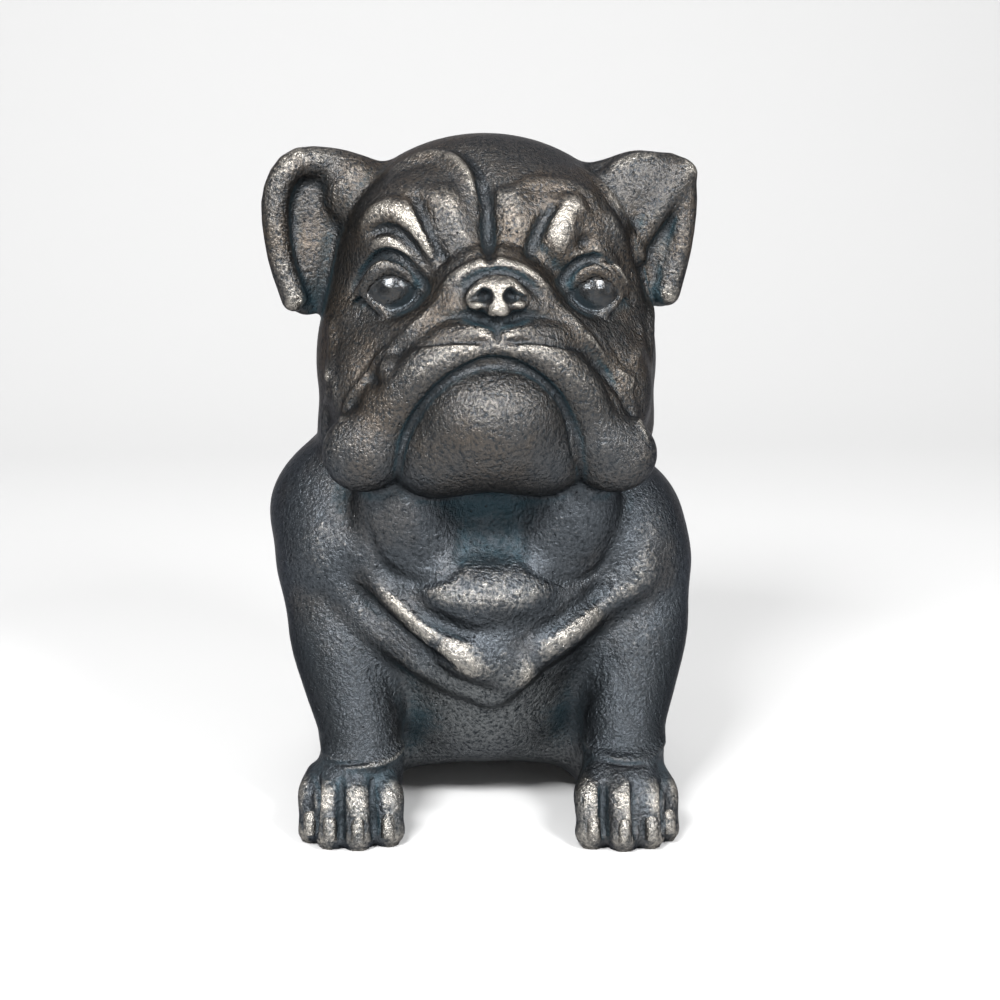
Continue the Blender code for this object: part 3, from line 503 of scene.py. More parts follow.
def curve_points(path, count):
    """Points along a smooth curve through the path's own points."""
    knots = [np.asarray(p, float) for p in path]
    knots = [2 * knots[0] - knots[1], *knots, 2 * knots[-1] - knots[-2]]
    spans = len(knots) - 3
    found = []
    for step in range(count):
        place = step / (count - 1) * spans
        span = min(int(place), spans - 1)
        t = place - span
        a, b, c, d = knots[span : span + 4]
        bend = (2 * a - 5 * b + 4 * c - d) * t**2 + (3 * b - a - 3 * c + d) * t**3
        found.append(0.5 * (2 * b + (c - a) * t + bend))
    return np.array(found)


def roll_beads(roll, count=17):
    radii = curve_points([(r, 0, 0) for r in roll.radii], count)[:, 0]
    return curve_points(roll.path, count), radii


def lump_turn(lump):
    return Euler([math.radians(a) for a in lump.turn]).to_matrix()


def lump_distance(points, lump):
    """About how far each point lies outside an ellipsoid."""
    local = (points - np.array(lump.centre)) @ np.array(lump_turn(lump))
    radii = np.array(lump.radii, float)
    near = np.linalg.norm(local / radii, axis=1)
    slope = np.maximum(np.linalg.norm(local / radii**2, axis=1), 1e-6)
    return near * (near - 1) / slope


def cone_distance(points, a, b, ra, rb):
    """How far each point lies outside the skin stretched over a ball at a and a ball at b."""
    axis = b - a
    square = max(axis @ axis, 1e-9)
    taper = ra - rb
    slope = max(square - taper**2, 1e-9)
    along = (points - a) @ axis
    side = np.sum(((points - a) * square - np.outer(along, axis)) ** 2, axis=1)
    past = along - square
    bend = np.sign(taper) * taper**2 * side
    beyond_b = np.sqrt(side + past**2 * square) / square - rb
    before_a = np.sqrt(side + along**2 * square) / square - ra
    between = (np.sqrt(side * slope / square) + along * taper) / square - ra
    is_b = np.sign(past) * slope * past**2 * square > bend
    is_a = np.sign(along) * slope * along**2 * square < bend
    return np.where(is_b, beyond_b, np.where(is_a, before_a, between))


def roll_distance(points, roll):
    """How far each point lies outside a tube whose radius changes along its path."""
    path, radii = roll_beads(roll)
    nearest = np.full(len(points), FAR)
    for a, b, ra, rb in zip(path[:-1], path[1:], radii[:-1], radii[1:]):
        nearest = np.minimum(nearest, cone_distance(points, a, b, ra, rb))
    return nearest


def reach_box(piece):
    """Lowest and highest corner of the space that a piece fills."""
    if isinstance(piece, Group):
        boxes = [reach_box(part) for part in piece.pieces]
        return np.min([low for low, _ in boxes], axis=0), np.max([high for _, high in boxes], axis=0)
    if isinstance(piece, Roll):
        path, radii = roll_beads(piece)
        return path.min(axis=0) - radii.max(), path.max(axis=0) + radii.max()
    half = np.linalg.norm(np.array(lump_turn(piece)) * np.array(piece.radii), axis=1)
    return np.array(piece.centre) - half, np.array(piece.centre) + half


def own_distance(points, piece, reach):
    if isinstance(piece, Group):
        return blended_distance(points, piece.pieces, reach)
    return roll_distance(points, piece) if isinstance(piece, Roll) else lump_distance(points, piece)


def blended_distance(points, pieces, reach=NEAR):
    """How far each point lies outside all the pieces, where each melts into those before it."""
    skin = np.full(len(points), FAR)
    for piece in pieces:
        low, high = reach_box(piece)
        margin = piece.blend + reach
        near = np.all((points > low - margin) & (points < high + margin), axis=1).nonzero()[0]
        own = own_distance(points[near], piece, reach)
        sign = -1 if getattr(piece, "cut", False) else 1
        before = sign * skin[near]
        mix = np.clip(0.5 + 0.5 * (before - own) / piece.blend, 0, 1)
        skin[near] = sign * (before + (own - before) * mix - piece.blend * mix * (1 - mix))
    return skin


def single_pieces(pieces):
    for piece in pieces:
        if isinstance(piece, Group):
            yield from single_pieces(piece.pieces)
        else:
            yield piece


def mesh_of(name, bm):
    mesh = bpy.data.meshes.new(name)
    bm.to_mesh(mesh)
    bm.free()
    return mesh


def block_out(pieces):
    """The lumps and rolls as overlapping balls, in one object."""
    bm = bmesh.new()
    for piece in single_pieces(pieces):
        if isinstance(piece, Roll):
            for place, radius in zip(*roll_beads(piece, 17)):
                spot = Matrix.Translation(place)
                bmesh.ops.create_icosphere(bm, subdivisions=2, radius=radius, matrix=spot)
        elif not piece.cut:
            frame = Matrix.Translation(piece.centre) @ lump_turn(piece).to_4x4()
            scale = Matrix.Diagonal((*piece.radii, 1))
            bmesh.ops.create_icosphere(bm, subdivisions=3, radius=1, matrix=frame @ scale)
    statue = bpy.data.objects.new("bulldog", mesh_of("bulldog", bm))
    bpy.context.scene.collection.objects.link(statue)
    return statue


def apply_modifiers(statue):
    """The object's mesh becomes what its modifiers show."""
    graph = bpy.context.evaluated_depsgraph_get()
    made = bpy.data.meshes.new_from_object(statue.evaluated_get(graph))
    statue.modifiers.clear()
    old, statue.data = statue.data, made
    bpy.data.meshes.remove(old)


def reclay(statue, grain):
    """One even, closed skin over the whole object."""
    remesh = statue.modifiers.new("even skin", "REMESH")
    remesh.mode = "VOXEL"
    remesh.voxel_size = grain
    apply_modifiers(statue)


def smooth(statue, times, strength=0.5):
    soften = statue.modifiers.new("soften", "SMOOTH")
    soften.iterations = times
    soften.factor = strength
    apply_modifiers(statue)


def read_skin(statue):
    mesh = statue.data
    points = np.empty(len(mesh.vertices) * 3)
    mesh.vertices.foreach_get("co", points)
    normals = np.empty(len(mesh.vertices) * 3)
    mesh.vertex_normals.foreach_get("vector", normals)
    return points.reshape(-1, 3), normals.reshape(-1, 3)


def move_skin(statue, points):
    statue.data.vertices.foreach_set("co", points.ravel())
    statue.data.update()


def settle(statue, pieces, rounds=4, reach=1.5):
    """Each point of the skin moves along its normal onto the blended form."""
    for _ in range(rounds):
        points, normals = read_skin(statue)
        gap = np.clip(blended_distance(points, pieces), -reach, reach)
        move_skin(statue, points - normals * gap[:, None])


def drawing_rays(path):
    """The eye's place, and the direction from it through each point of a path on the front drawing."""
    side, lift = math.radians(EYE_SIDE), math.radians(EYE_LIFT)
    back = Vector((math.sin(side) * math.cos(lift), -math.cos(side) * math.cos(lift), math.sin(lift)))
    right = Vector((math.cos(side), math.sin(side), 0))
    up = back.cross(right)
    eye = Vector(EYE_AIM) + back * EYE_DISTANCE
    across, above = DRAWING_CENTRE
    rays = [-back * DRAWING_DEPTH + right * (u - across) + up * (v - above) for u, v in path]
    return eye, [ray.normalized() for ray in rays]


def laid_on_skin(surface, path):
    """A drawn path's points where they fall on the skin, and the skin's normals there."""
    smooth_path = curve_points([(u, v, 0) for u, v in path], STROKE_STEPS)[:, :2]
    eye, rays = drawing_rays(smooth_path)
    hits = [surface.ray_cast(eye, ray) for ray in rays]
    found = [(place, normal) for place, normal, _, _ in hits if place is not None]
    return np.array([p for p, _ in found]), np.array([n for _, n in found])


def stroke_offsets(points, normals, line, line_normals, stroke):
    """How far one stroke moves each point along its normal. It fades out at both of its ends."""
    low, high = line.min(axis=0) - 2 * stroke.width, line.max(axis=0) + 2 * stroke.width
    near = np.all((points > low) & (points < high), axis=1).nonzero()[0]
    gap = np.full(len(near), FAR)
    place = np.zeros(len(near))
    facing = np.ones(len(near))
    spans = len(line) - 1
    for index in range(spans):
        a, b = line[index], line[index + 1]
        step = b - a
        along = np.clip((points[near] - a) @ step / max(step @ step, 1e-9), 0, 1)
        far = np.linalg.norm(points[near] - a - along[:, None] * step, axis=1)
        closer = far < gap
        gap[closer] = far[closer]
        place[closer] = (index + along[closer]) / spans
        facing[closer] = normals[near[closer]] @ line_normals[index]
    share = np.clip(1 - (gap / (2 * stroke.width)) ** 2, 0, 1)
    profile = share**2 if stroke.height > 0 else share**3
    fade = np.clip(np.minimum(place, 1 - place) / STROKE_FADE, 0, 1)
    offsets = np.zeros(len(points))
    offsets[near] = stroke.height * profile * fade * (2 - fade) * np.clip(facing * 3, 0, 1)
    return offsets


def draw_on(statue, strokes):
    """All the strokes of one list, pressed into the skin or built up on it together."""
    points, normals = read_skin(statue)
    surface = BVHTree.FromPolygons(points.tolist(), [tuple(f.vertices) for f in statue.data.polygons])
    offsets = np.zeros(len(points))
    for stroke in strokes:
        line, line_normals = laid_on_skin(surface, stroke.path)
        if len(line) > 1:
            offsets += stroke_offsets(points, normals, line, line_normals, stroke)
    move_skin(statue, points + normals * offsets[:, None])


def flatten_base(statue):
    """All that reaches down to the ground, or nearly, is cut level with it."""
    points, _ = read_skin(statue)
    points[points[:, 2] < GROUND_CUT, 2] = 0
    move_skin(statue, points)


def all_pieces():
    return [*trunk(), *forelegs(), *throat_and_chest(), *head(), *ears()]


def model_clay(sizes):
    """The whole dog in one closed skin of clay, in hundredths of its height."""
    pieces = all_pieces()
    statue = block_out(pieces)
    reclay(statue, sizes.rough_clay)
    smooth(statue, 4)
    settle(statue, pieces)
    reclay(statue, sizes.fine_clay)
    settle(statue, pieces, 3)
    smooth(statue, 2)
    reclay(statue, sizes.finest_clay)
    smooth(statue, 1)
    settle(statue, pieces, 1)
    draw_on(statue, CLAY_STROKES)
    smooth(statue, 2)
    draw_on(statue, CREASES)
    flatten_base(statue)
    return statue


def neighbour_mean(edges, count, values):
    """Each point's mean over its neighbours along the edges."""
    total = np.bincount(edges[:, 0], values[edges[:, 1]], count)
    total += np.bincount(edges[:, 1], values[edges[:, 0]], count)
    share = np.bincount(edges.ravel(), minlength=count)
    return total / np.maximum(share, 1)


def edges_of(statue):
    edges = np.empty(len(statue.data.edges) * 2, dtype=np.int64)
    statue.data.edges.foreach_get("vertices", edges)
    return edges.reshape(-1, 2)


def bulge(points, normals, edges, rounds):
    """How far each point stands proud of the skin round it, smoothed over this many rounds."""
    calm = points.copy()
    for _ in range(rounds):
        calm = np.stack([neighbour_mean(edges, len(points), calm[:, axis]) for axis in range(3)], axis=1)
    return np.sum((points - calm) * normals, axis=1)


def shelter(points, normals, pieces):
    """From 0, in the open, to 1, deep in a hollow: how much of the way out from the skin is taken up."""
    closed = np.zeros(len(points))
    for step in SHELTER_STEPS:
        found = blended_distance(points + normals * step, pieces, step)
        closed += 1 - np.clip(found / step, 0, 1)
    return closed / len(SHELTER_STEPS)


def write_mask(statue, name, values):
    attribute = statue.data.attributes.new(name, "FLOAT", "POINT")
    attribute.data.foreach_set("value", np.clip(values, 0, 1).astype(np.float32))


def rise(values, start, end):
    """0 up to start, 1 from end on, and a straight way between; end may be the lower of the two."""
    return np.clip((values - start) / (end - start), 0, 1)


def eyeball_mask(points, reach=1.07, fade=0.05):
    """1 within this many radii of the eyeballs' middles, 0 on everything further off."""
    mask = np.zeros(len(points))
    for piece in single_pieces(all_pieces()):
        if piece.name == "eyeball":
            away = np.linalg.norm((points - np.array(piece.centre)) / np.array(piece.radii), axis=1)
            mask = np.maximum(mask, rise(away, reach, reach - fade))
    return mask


def chest_highlight_mask(points):
    """1 on the front of the chest, where the mantle hangs and a painted highlight is added."""
    _, y, z = points.T
    return rise(z, 20, 24) * rise(z, 52, 44) * rise(y, -6, -11)


def ear_less_highlight_mask(points):
    """1 on the ears' outer halves, where the painted highlight is held back."""
    x, _, z = points.T
    return rise(np.abs(x), 22, 25) * rise(z, 70, 74)


def throat_mask(points):
    """1 in the middle of the throat, fading out over the dewlaps."""
    away = (points - np.array(THROAT_MIDDLE)) / np.array(THROAT_SPREAD)
    return np.clip(1.5 - np.linalg.norm(away, axis=1), 0, 1)


def leg_shade_mask(points):
    """1 on the forelegs and the flanks beside them, 0 from the shoulders up: where painted shade darkens the
    metal.
    """
    x, _, z = points.T
    return rise(np.abs(x), 11, 15) * rise(z, 34, 25) * rise(z, 9, 13)


def belly_light_mask(points):
    """1 on the front of the belly, where painted light makes the metal paler, fading out towards the legs,
    the chest and the back.
    """
    x, y, z = points.T
    return rise(np.abs(x), 15, 10) * rise(z, 27, 21) * rise(y, 2, -4)


def write_wear(statue):
    """Masks for the finish: ridges that hands rub, with a painted highlight on faces looking up and forward;
    painted light on the belly; painted shade on the legs and in the creases; sheltered places; the eyes.
    """
    points, normals = read_skin(statue)
    edges = edges_of(statue)
    fine = bulge(points, normals, edges, 12)
    broad = bulge(points, normals, edges, 90)
    # Painted highlight: faces that look up and forward, and the front of the chest, get more bronze, as where
    # the lamps above and in front light them; near the eyes and on the ears' outer halves they get less.
    facing = 0.5 * normals[:, 2] - 0.4 * normals[:, 1] - 1.1 * eyeball_mask(points, 1.75, 0.35)
    facing += 0.4 * chest_highlight_mask(points) - 0.3 * ear_less_highlight_mask(points)
    write_mask(statue, "ridge", 0.27 + fine * 1.1 + broad * 0.28 + facing * 0.32)
    # Painted light: the front of the belly, in shade under the chest, is made paler.
    write_mask(statue, "belly", belly_light_mask(points))
    # Painted shade: the forelegs and the flanks beside them are darkened.
    write_mask(statue, "legs", leg_shade_mask(points))
    # Painted shade in the creases: where the skin lies below its surroundings, it is darkened.
    write_mask(statue, "crease", -fine * 4.0 - 0.15)
    hidden = shelter(points, normals, all_pieces())
    write_mask(statue, "shelter", hidden + 0.36 * throat_mask(points))
    write_mask(statue, "eyes", eyeball_mask(points))


def thin_out(statue, triangles):
    now = sum(len(face.vertices) - 2 for face in statue.data.polygons)
    thin = statue.modifiers.new("thin", "DECIMATE")
    thin.ratio = min(1.0, triangles / now)
    apply_modifiers(statue)


def stand_in_frame(statue):
    """From hundredths of the height to metres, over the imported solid's own place."""
    across, along = CLAY_MIDDLE
    statue.data.transform(Matrix.Scale(UNIT, 4) @ Matrix.Translation((-across, -along, 0)))


class NodeDesk:
    """Adds nodes to one tree and joins them, so that a tree reads from top to bottom."""

    def __init__(self, tree):
        self.tree = tree

    def add(self, kind, wires=None, **settings):
        node = self.tree.nodes.new(kind)
        for name, value in settings.items():
            setattr(node, name, value)
        for socket, value in (wires or {}).items():
            self.wire(value, node.inputs[socket])
        return node

    def wire(self, value, socket):
        if isinstance(value, bpy.types.NodeSocket):
            self.tree.links.new(value, socket)
        else:
            socket.default_value = value

    def maths(self, operation, first, second):
        return self.add("ShaderNodeMath", {0: first, 1: second}, operation=operation).outputs[0]

    def times(self, first, second):
        return self.maths("MULTIPLY", first, second)

    def plus(self, value, layer, amount):
        """The value with this much of a layer added."""
        return self.maths("ADD", value, self.times(layer, amount))

    def sway(self, value, noise, amount):
        """The value pushed up and down by a noise, which is 0.5 in the mean."""
        return self.plus(value, self.maths("SUBTRACT", noise, 0.5), amount)

    def blend(self, share, first, second):
        """Two colours mixed by a share from 0 to 1."""
        node = self.add("ShaderNodeMix", data_type="RGBA", blend_type="MIX")
        self.wire(share, node.inputs[0])
        self.wire(first, node.inputs[6])
        self.wire(second, node.inputs[7])
        return node.outputs[2]

    def between(self, share, low, high):
        """A number that goes from low to high as the share goes from 0 to 1."""
        node = self.add("ShaderNodeMapRange", {"Value": share, "To Min": low, "To Max": high})
        return node.outputs[0]

    def step(self, value, low, high):
        """0 below low, 1 above high, and a smooth way between them."""
        wires = {"Value": value, "From Min": low, "From Max": high}
        return self.add("ShaderNodeMapRange", wires, interpolation_type="SMOOTHSTEP").outputs[0]

    def noise(self, place, scale, detail=2.0, roughness=0.5):
        wires = {"Vector": place, "Scale": scale, "Detail": detail, "Roughness": roughness}
        return self.add("ShaderNodeTexNoise", wires).outputs[0]

    def mask(self, name):
        return self.add("ShaderNodeAttribute", attribute_name=name).outputs["Fac"]


# The finish's layers, in waves or cells per metre, from broad blotches down to the finest grain.
BLOTCHES = 22.0
HAMMER_MARKS = 240.0
PITS = 260.0
LEATHER = 560.0
BRUSH_MARKS = 640.0
GRAIN = 1500.0

# How high each layer of the surface stands, in metres.
HAMMER_HEIGHT = 0.0009
LEATHER_HEIGHT = 0.0009
GRAIN_HEIGHT = 0.00014
BRUSH_HEIGHT = 0.0004
PIT_DEPTH = 0.0005

# Heights, in metres, between which the body's metal turns into the head's, and the paw's into the leg's.
HEAD_STARTS = (0.175, 0.235)
PAWS_END = (0.045, 0.028)

# What the metal mirrors at its edges, as seen along the surface.
EDGE_TINT = (0.3, 0.3, 0.32, 1.0)


def worn_bronze(colours):
    """Dark cast metal, bright on its ridges from wear and from a painted highlight, paler on the belly from
    painted light, darker in creases and on the legs from painted shade, with blue-green left in its hollows.
    """
    metal = bpy.data.materials.new("worn_bronze")
    metal.use_nodes = True
    desk = NodeDesk(metal.node_tree)
    shader = metal.node_tree.nodes["Principled BSDF"]
    place = desk.add("ShaderNodeTexCoord").outputs["Object"]
    up = desk.add("ShaderNodeSeparateXYZ", {"Vector": place}).outputs["Z"]
    eyes = desk.mask("eyes")
    blotch = desk.noise(place, BLOTCHES, 3.0, 0.6)
    hammered = desk.noise(place, HAMMER_MARKS, 3.0, 0.6)
    leather = desk.noise(place, LEATHER, 3.0, 0.65)
    grain = desk.noise(place, GRAIN, 2.0, 0.6)
    long_way = desk.add("ShaderNodeMapping", {"Vector": place, "Scale": (1.0, 1.0, 0.25)}).outputs[0]
    brushed = desk.noise(long_way, BRUSH_MARKS, 3.0, 0.6)
    cells = desk.add("ShaderNodeTexVoronoi", {"Vector": place, "Scale": PITS}, feature="F1")
    tint = desk.add("ShaderNodeSeparateColor", {"Color": cells.outputs["Color"]}).outputs[0]
    pit = desk.times(desk.step(cells.outputs["Distance"], 0.2, 0.08), desk.step(tint, 0.6, 0.65))
    on_head = desk.step(up, *HEAD_STARTS)
    on_paws = desk.step(up, *PAWS_END)

    # Wear on the ridges together with a painted highlight on faces that look up and forward.
    wear_and_light = desk.sway(desk.mask("ridge"), hammered, 0.5)
    wear_and_light = desk.sway(wear_and_light, leather, 0.7)
    wear_and_light = desk.plus(wear_and_light, on_head, 0.05)
    wear_and_light = desk.plus(wear_and_light, on_paws, 0.08)
    rubbed_and_lit = desk.step(wear_and_light, 0.68, 1.25)
    hollow = desk.sway(desk.times(desk.mask("shelter"), 1.15), blotch, 0.5)
    hollow = desk.sway(hollow, hammered, 0.5)
    green = desk.step(hollow, 0.34, 0.85)
    # Painted shade in the creases.
    dark = desk.step(desk.sway(desk.mask("crease"), leather, 0.5), 0.2, 0.9)

    shadow = colours.shadow_metal[:]
    body = desk.blend(on_head, colours.body_metal[:], colours.head_metal[:])
    brown = desk.times(desk.step(blotch, 0.42, 0.66), desk.between(on_head, 0.35, 0.9))
    body = desk.blend(brown, body, colours.brown_metal[:])
    # Painted light: the belly's front is made paler, brightening the shade it lies in.
    body = desk.blend(desk.mask("belly"), body, colours.belly_painted_light[:])
    base = desk.blend(desk.step(leather, 0.3, 0.6), shadow, body)
    # Bronze on the ridges: partly wear, partly a painted highlight.
    base = desk.blend(rubbed_and_lit, base, colours.bronze_wear_and_highlight[:])
    base = desk.blend(desk.times(green, 0.8), base, colours.patina[:])
    # Painted shade in the creases, then the darker pits and eyes.
    base = desk.blend(desk.times(dark, 0.75), base, shadow)
    base = desk.blend(desk.times(pit, 0.7), base, shadow)
    base = desk.blend(desk.times(eyes, 0.6), base, shadow)
    # Painted shade on the forelegs and the flanks beside them.
    base = desk.blend(desk.times(desk.mask("legs"), 0.85), base, shadow)
    desk.wire(base, shader.inputs["Base Color"])
    shine = desk.times(desk.between(rubbed_and_lit, 0.92, 1.0), desk.between(green, 1.0, 0.6))
    desk.wire(shine, shader.inputs["Metallic"])
    rough = desk.maths("ADD", desk.between(rubbed_and_lit, 0.3, 0.24), desk.between(green, 0.0, 0.12))
    desk.wire(desk.times(rough, desk.between(eyes, 1.0, 0.6)), shader.inputs["Roughness"])
    shader.inputs["Specular Tint"].default_value = EDGE_TINT

    height = desk.times(hammered, HAMMER_HEIGHT)
    height = desk.plus(height, leather, LEATHER_HEIGHT)
    height = desk.plus(height, grain, GRAIN_HEIGHT)
    height = desk.plus(height, brushed, BRUSH_HEIGHT)
    height = desk.plus(height, pit, -PIT_DEPTH)
    height = desk.times(height, desk.between(eyes, 1.0, 0.25))
    bump = desk.add("ShaderNodeBump", {"Height": height, "Strength": 1.0, "Distance": 1.0})
    desk.wire(bump.outputs[0], shader.inputs["Normal"])
    return metal


def clay_setting(name, what, default, low):
    """A size of the clay, in hundredths of the statue's height."""
    text = what + ", in hundredths of the height"
    return FloatProperty(name=name, description=text, default=default, min=low)


def colour_setting(name, description, default):
    return FloatVectorProperty(
        name=name, description=description, subtype="COLOR", size=4, min=0, max=1, default=(*default, 1.0)
    )


def power_setting(name, description, default):
    return FloatProperty(name=name, description=description, default=default, min=0, unit="POWER")


class StatueSizes(bpy.types.PropertyGroup):
    rough_clay: clay_setting("Rough clay", "Grain of the first skin", 1.1, 0.5)
    fine_clay: clay_setting("Fine clay", "Grain of the second skin", 0.7, 0.3)
    finest_clay: clay_setting("Finest clay", "Grain of the last skin", 0.36, 0.25)
    claw_length: clay_setting("Claw length", "Length of a claw", 2.5, 0.5)
    claw_girth: clay_setting("Claw girth", "Radius of a claw at its root", 0.72, 0.1)
    triangles: IntProperty(
        name="Triangles", description="Triangles that the finished statue keeps", default=195000, min=20000
    )


class FinishColours(bpy.types.PropertyGroup):
    body_metal: colour_setting("Body metal", "The dark bluish metal of the body", (0.058, 0.065, 0.073))
    head_metal: colour_setting("Head metal", "The browner dark metal of the head", (0.066, 0.063, 0.06))
    brown_metal: colour_setting("Brown metal", "Brown blotches, most on the head", (0.083, 0.069, 0.056))
    # Painted light: a paler metal laid on the belly's front, where it lies in shade.
    belly_painted_light: colour_setting("Belly metal", "The paler metal of the belly", (0.13, 0.137, 0.14))
    # The metal's darkest mottling; also laid as painted shade in the creases and on the legs, and on the pits
    # and the eyes.
    shadow_metal: colour_setting("Shadow metal", "The darkest of the metal's mottling", (0.026, 0.03, 0.034))
    # Shows on the ridges as wear, and as a painted highlight on faces that look up and forward.
    bronze_wear_and_highlight: colour_setting("Rubbed bronze", "The metal that shows on ridges", (0.33, 0.308, 0.275))
    patina: colour_setting("Patina", "The blue-green left in hollows", (0.012, 0.031, 0.041))


class StageSettings(bpy.types.PropertyGroup):
    floor_colour: colour_setting("Floor", "Colour of the floor and backdrop", (0.52, 0.52, 0.52))
    sky_strength: FloatProperty(
        name="Room light", description="Strength of the even light from all sides", default=0.6, min=0
    )
    key_power: power_setting("Main lamp", "Power of the lamp in front, above the dog's right", 32.0)
    second_power: power_setting("Second lamp", "Power of the lamp in front, above the dog's left", 18.0)
    side_power: power_setting("Side lamps", "Power of each of the two tall side lamps", 1.5)
    fill_power: power_setting("Fill lamp", "Power of the wide low lamp in front", 2.5)
    backdrop_power: power_setting("Backdrop lamp", "Power of the wide lamp on the backdrop", 24.0)


class TreeDesk(NodeDesk):
    """The same for a tree of geometry nodes, with its inputs named."""

    def __init__(self, name):
        super().__init__(bpy.data.node_groups.new(name, "GeometryNodeTree"))
        self.tree.interface.new_socket("Geometry", in_out="INPUT", socket_type="NodeSocketGeometry")
        self.tree.interface.new_socket("Geometry", in_out="OUTPUT", socket_type="NodeSocketGeometry")
        self.start = self.tree.nodes.new("NodeGroupInput")

    def ask(self, name, kind):
        """One more named input of the tree; gives its socket and its identifier."""
        socket = self.tree.interface.new_socket(name, in_out="INPUT", socket_type=kind)
        return self.start.outputs[name], socket.identifier

    def place(self, y, z):
        return self.add("ShaderNodeCombineXYZ", {"Y": y, "Z": z}).outputs[0]

    def shape(self, kind, **wires):
        """A node that gives a shape, with its sockets' names written with underscores."""
        sockets = {name.replace("_", " "): value for name, value in wires.items()}
        return self.add("GeometryNode" + kind, sockets).outputs[0]

    def give(self, geometry):
        end = self.tree.nodes.new("NodeGroupOutput")
        self.tree.links.new(geometry, end.inputs[0])


# A claw's spine, as shares of its length: how far its middle and tip reach forwards and down.
CLAW_BEND = (-0.34, -0.2)
CLAW_TIP = (-0.4, -1.0)

# The sides of a claw, and the points along it.
CLAW_SIDES = 16
CLAW_POINTS = 12

# How soon a claw thins towards its tip, how round it ends, and the blunt rest of its girth there.
CLAW_THINNING = 1.6
CLAW_ROUNDING = 0.8
CLAW_BLUNT = 1.02

# How much the claws are rubbed bright.
CLAW_WEAR = 0.85


def claw_tree():
    """One bent, pointed claw, put on every point that comes in; with the inputs' identifiers."""
    desk = TreeDesk("claws")
    length, length_id = desk.ask("Length", "NodeSocketFloat")
    girth, girth_id = desk.ask("Girth", "NodeSocketFloat")
    finish, finish_id = desk.ask("Finish", "NodeSocketMaterial")
    bend = desk.place(*[desk.times(length, share) for share in CLAW_BEND])
    tip = desk.place(*[desk.times(length, share) for share in CLAW_TIP])
    spine = desk.shape(
        "CurveQuadraticBezier", Resolution=CLAW_POINTS, Start=(0, 0, 0), Middle=bend, End=tip
    )
    along = desk.add("GeometryNodeSplineParameter").outputs["Factor"]
    thinned = desk.maths("SUBTRACT", CLAW_BLUNT, desk.maths("POWER", along, CLAW_THINNING))
    radius = desk.times(desk.maths("POWER", thinned, CLAW_ROUNDING), girth)
    thick = desk.shape("SetCurveRadius", Curve=spine, Radius=radius)
    ring = desk.shape("CurvePrimitiveCircle", Resolution=CLAW_SIDES, Radius=1.0)
    horn = desk.shape("CurveToMesh", Curve=thick, Profile_Curve=ring, Fill_Caps=True)
    claws = desk.shape("InstanceOnPoints", Points=desk.start.outputs["Geometry"], Instance=horn)
    solid = desk.shape("RealizeInstances", Geometry=claws)
    desk.give(desk.shape("SetMaterial", Geometry=solid, Material=finish))
    return desk.tree, length_id, girth_id, finish_id


def claw_roots():
    """Where each of the eight claws leaves its toe."""
    roots = []
    for side, _, curl in TOES:
        y = PAW_FRONT + curl - CLAW_SET
        roots.append((-PAW_CENTRE - side - LEG_SHIFT, y, CLAW_HEIGHT))
        roots.append((PAW_CENTRE + side - LEG_SHIFT, y - PAW_STEP, CLAW_HEIGHT))
    return roots


class BULLDOG_OT_claws(bpy.types.Operator):
    """Put a pointed claw on each toe of the forepaws"""

    bl_idname = "bulldog.claws"
    bl_label = "Claws"

    def execute(self, context):
        sizes = context.scene.bulldog_sizes
        mesh = bpy.data.meshes.new("bulldog_claws")
        mesh.from_pydata(claw_roots(), [], [])
        claws = bpy.data.objects.new("bulldog_claws", mesh)
        context.scene.collection.objects.link(claws)
        tree, length, girth, finish = claw_tree()
        grow = claws.modifiers.new("claws", "NODES")
        grow.node_group = tree
        grow[length] = sizes.claw_length
        grow[girth] = sizes.claw_girth
        grow[finish] = bpy.data.materials["worn_bronze"]
        apply_modifiers(claws)
        if len(claws.data.polygons) == 0:
            raise RuntimeError("the claws' tree gave no faces")
        write_mask(claws, "ridge", np.full(len(claws.data.vertices), CLAW_WEAR))
        stand_in_frame(claws)
        claws.data.shade_smooth()
        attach(claws, "root")
        return {"FINISHED"}


class BULLDOG_OT_statue(bpy.types.Operator):
    """Model the cast statue in fine clay and give it its bronze finish, with its wear, painted highlights and
    painted shade
    """

    bl_idname = "bulldog.statue"
    bl_label = "Cast statue"

    def execute(self, context):
        sizes = context.scene.bulldog_sizes
        statue = model_clay(sizes)
        write_wear(statue)
        thin_out(statue, sizes.triangles)
        stand_in_frame(statue)
        statue.data.shade_smooth()
        statue.name = statue.data.name = "bulldog_statue"
        statue.data.materials.clear()
        statue.data.materials.append(worn_bronze(context.scene.bulldog_colours))
        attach(statue, "root")
        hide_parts("bulldog")
        return {"FINISHED"}


# The floor's half width, where it starts to turn up behind the statue, the turn's radius in metres,
# and its number of steps.
SWEEP_HALF = 3.0
SWEEP_START = 1.0
SWEEP_RADIUS = 0.8
SWEEP_TURNS = 12


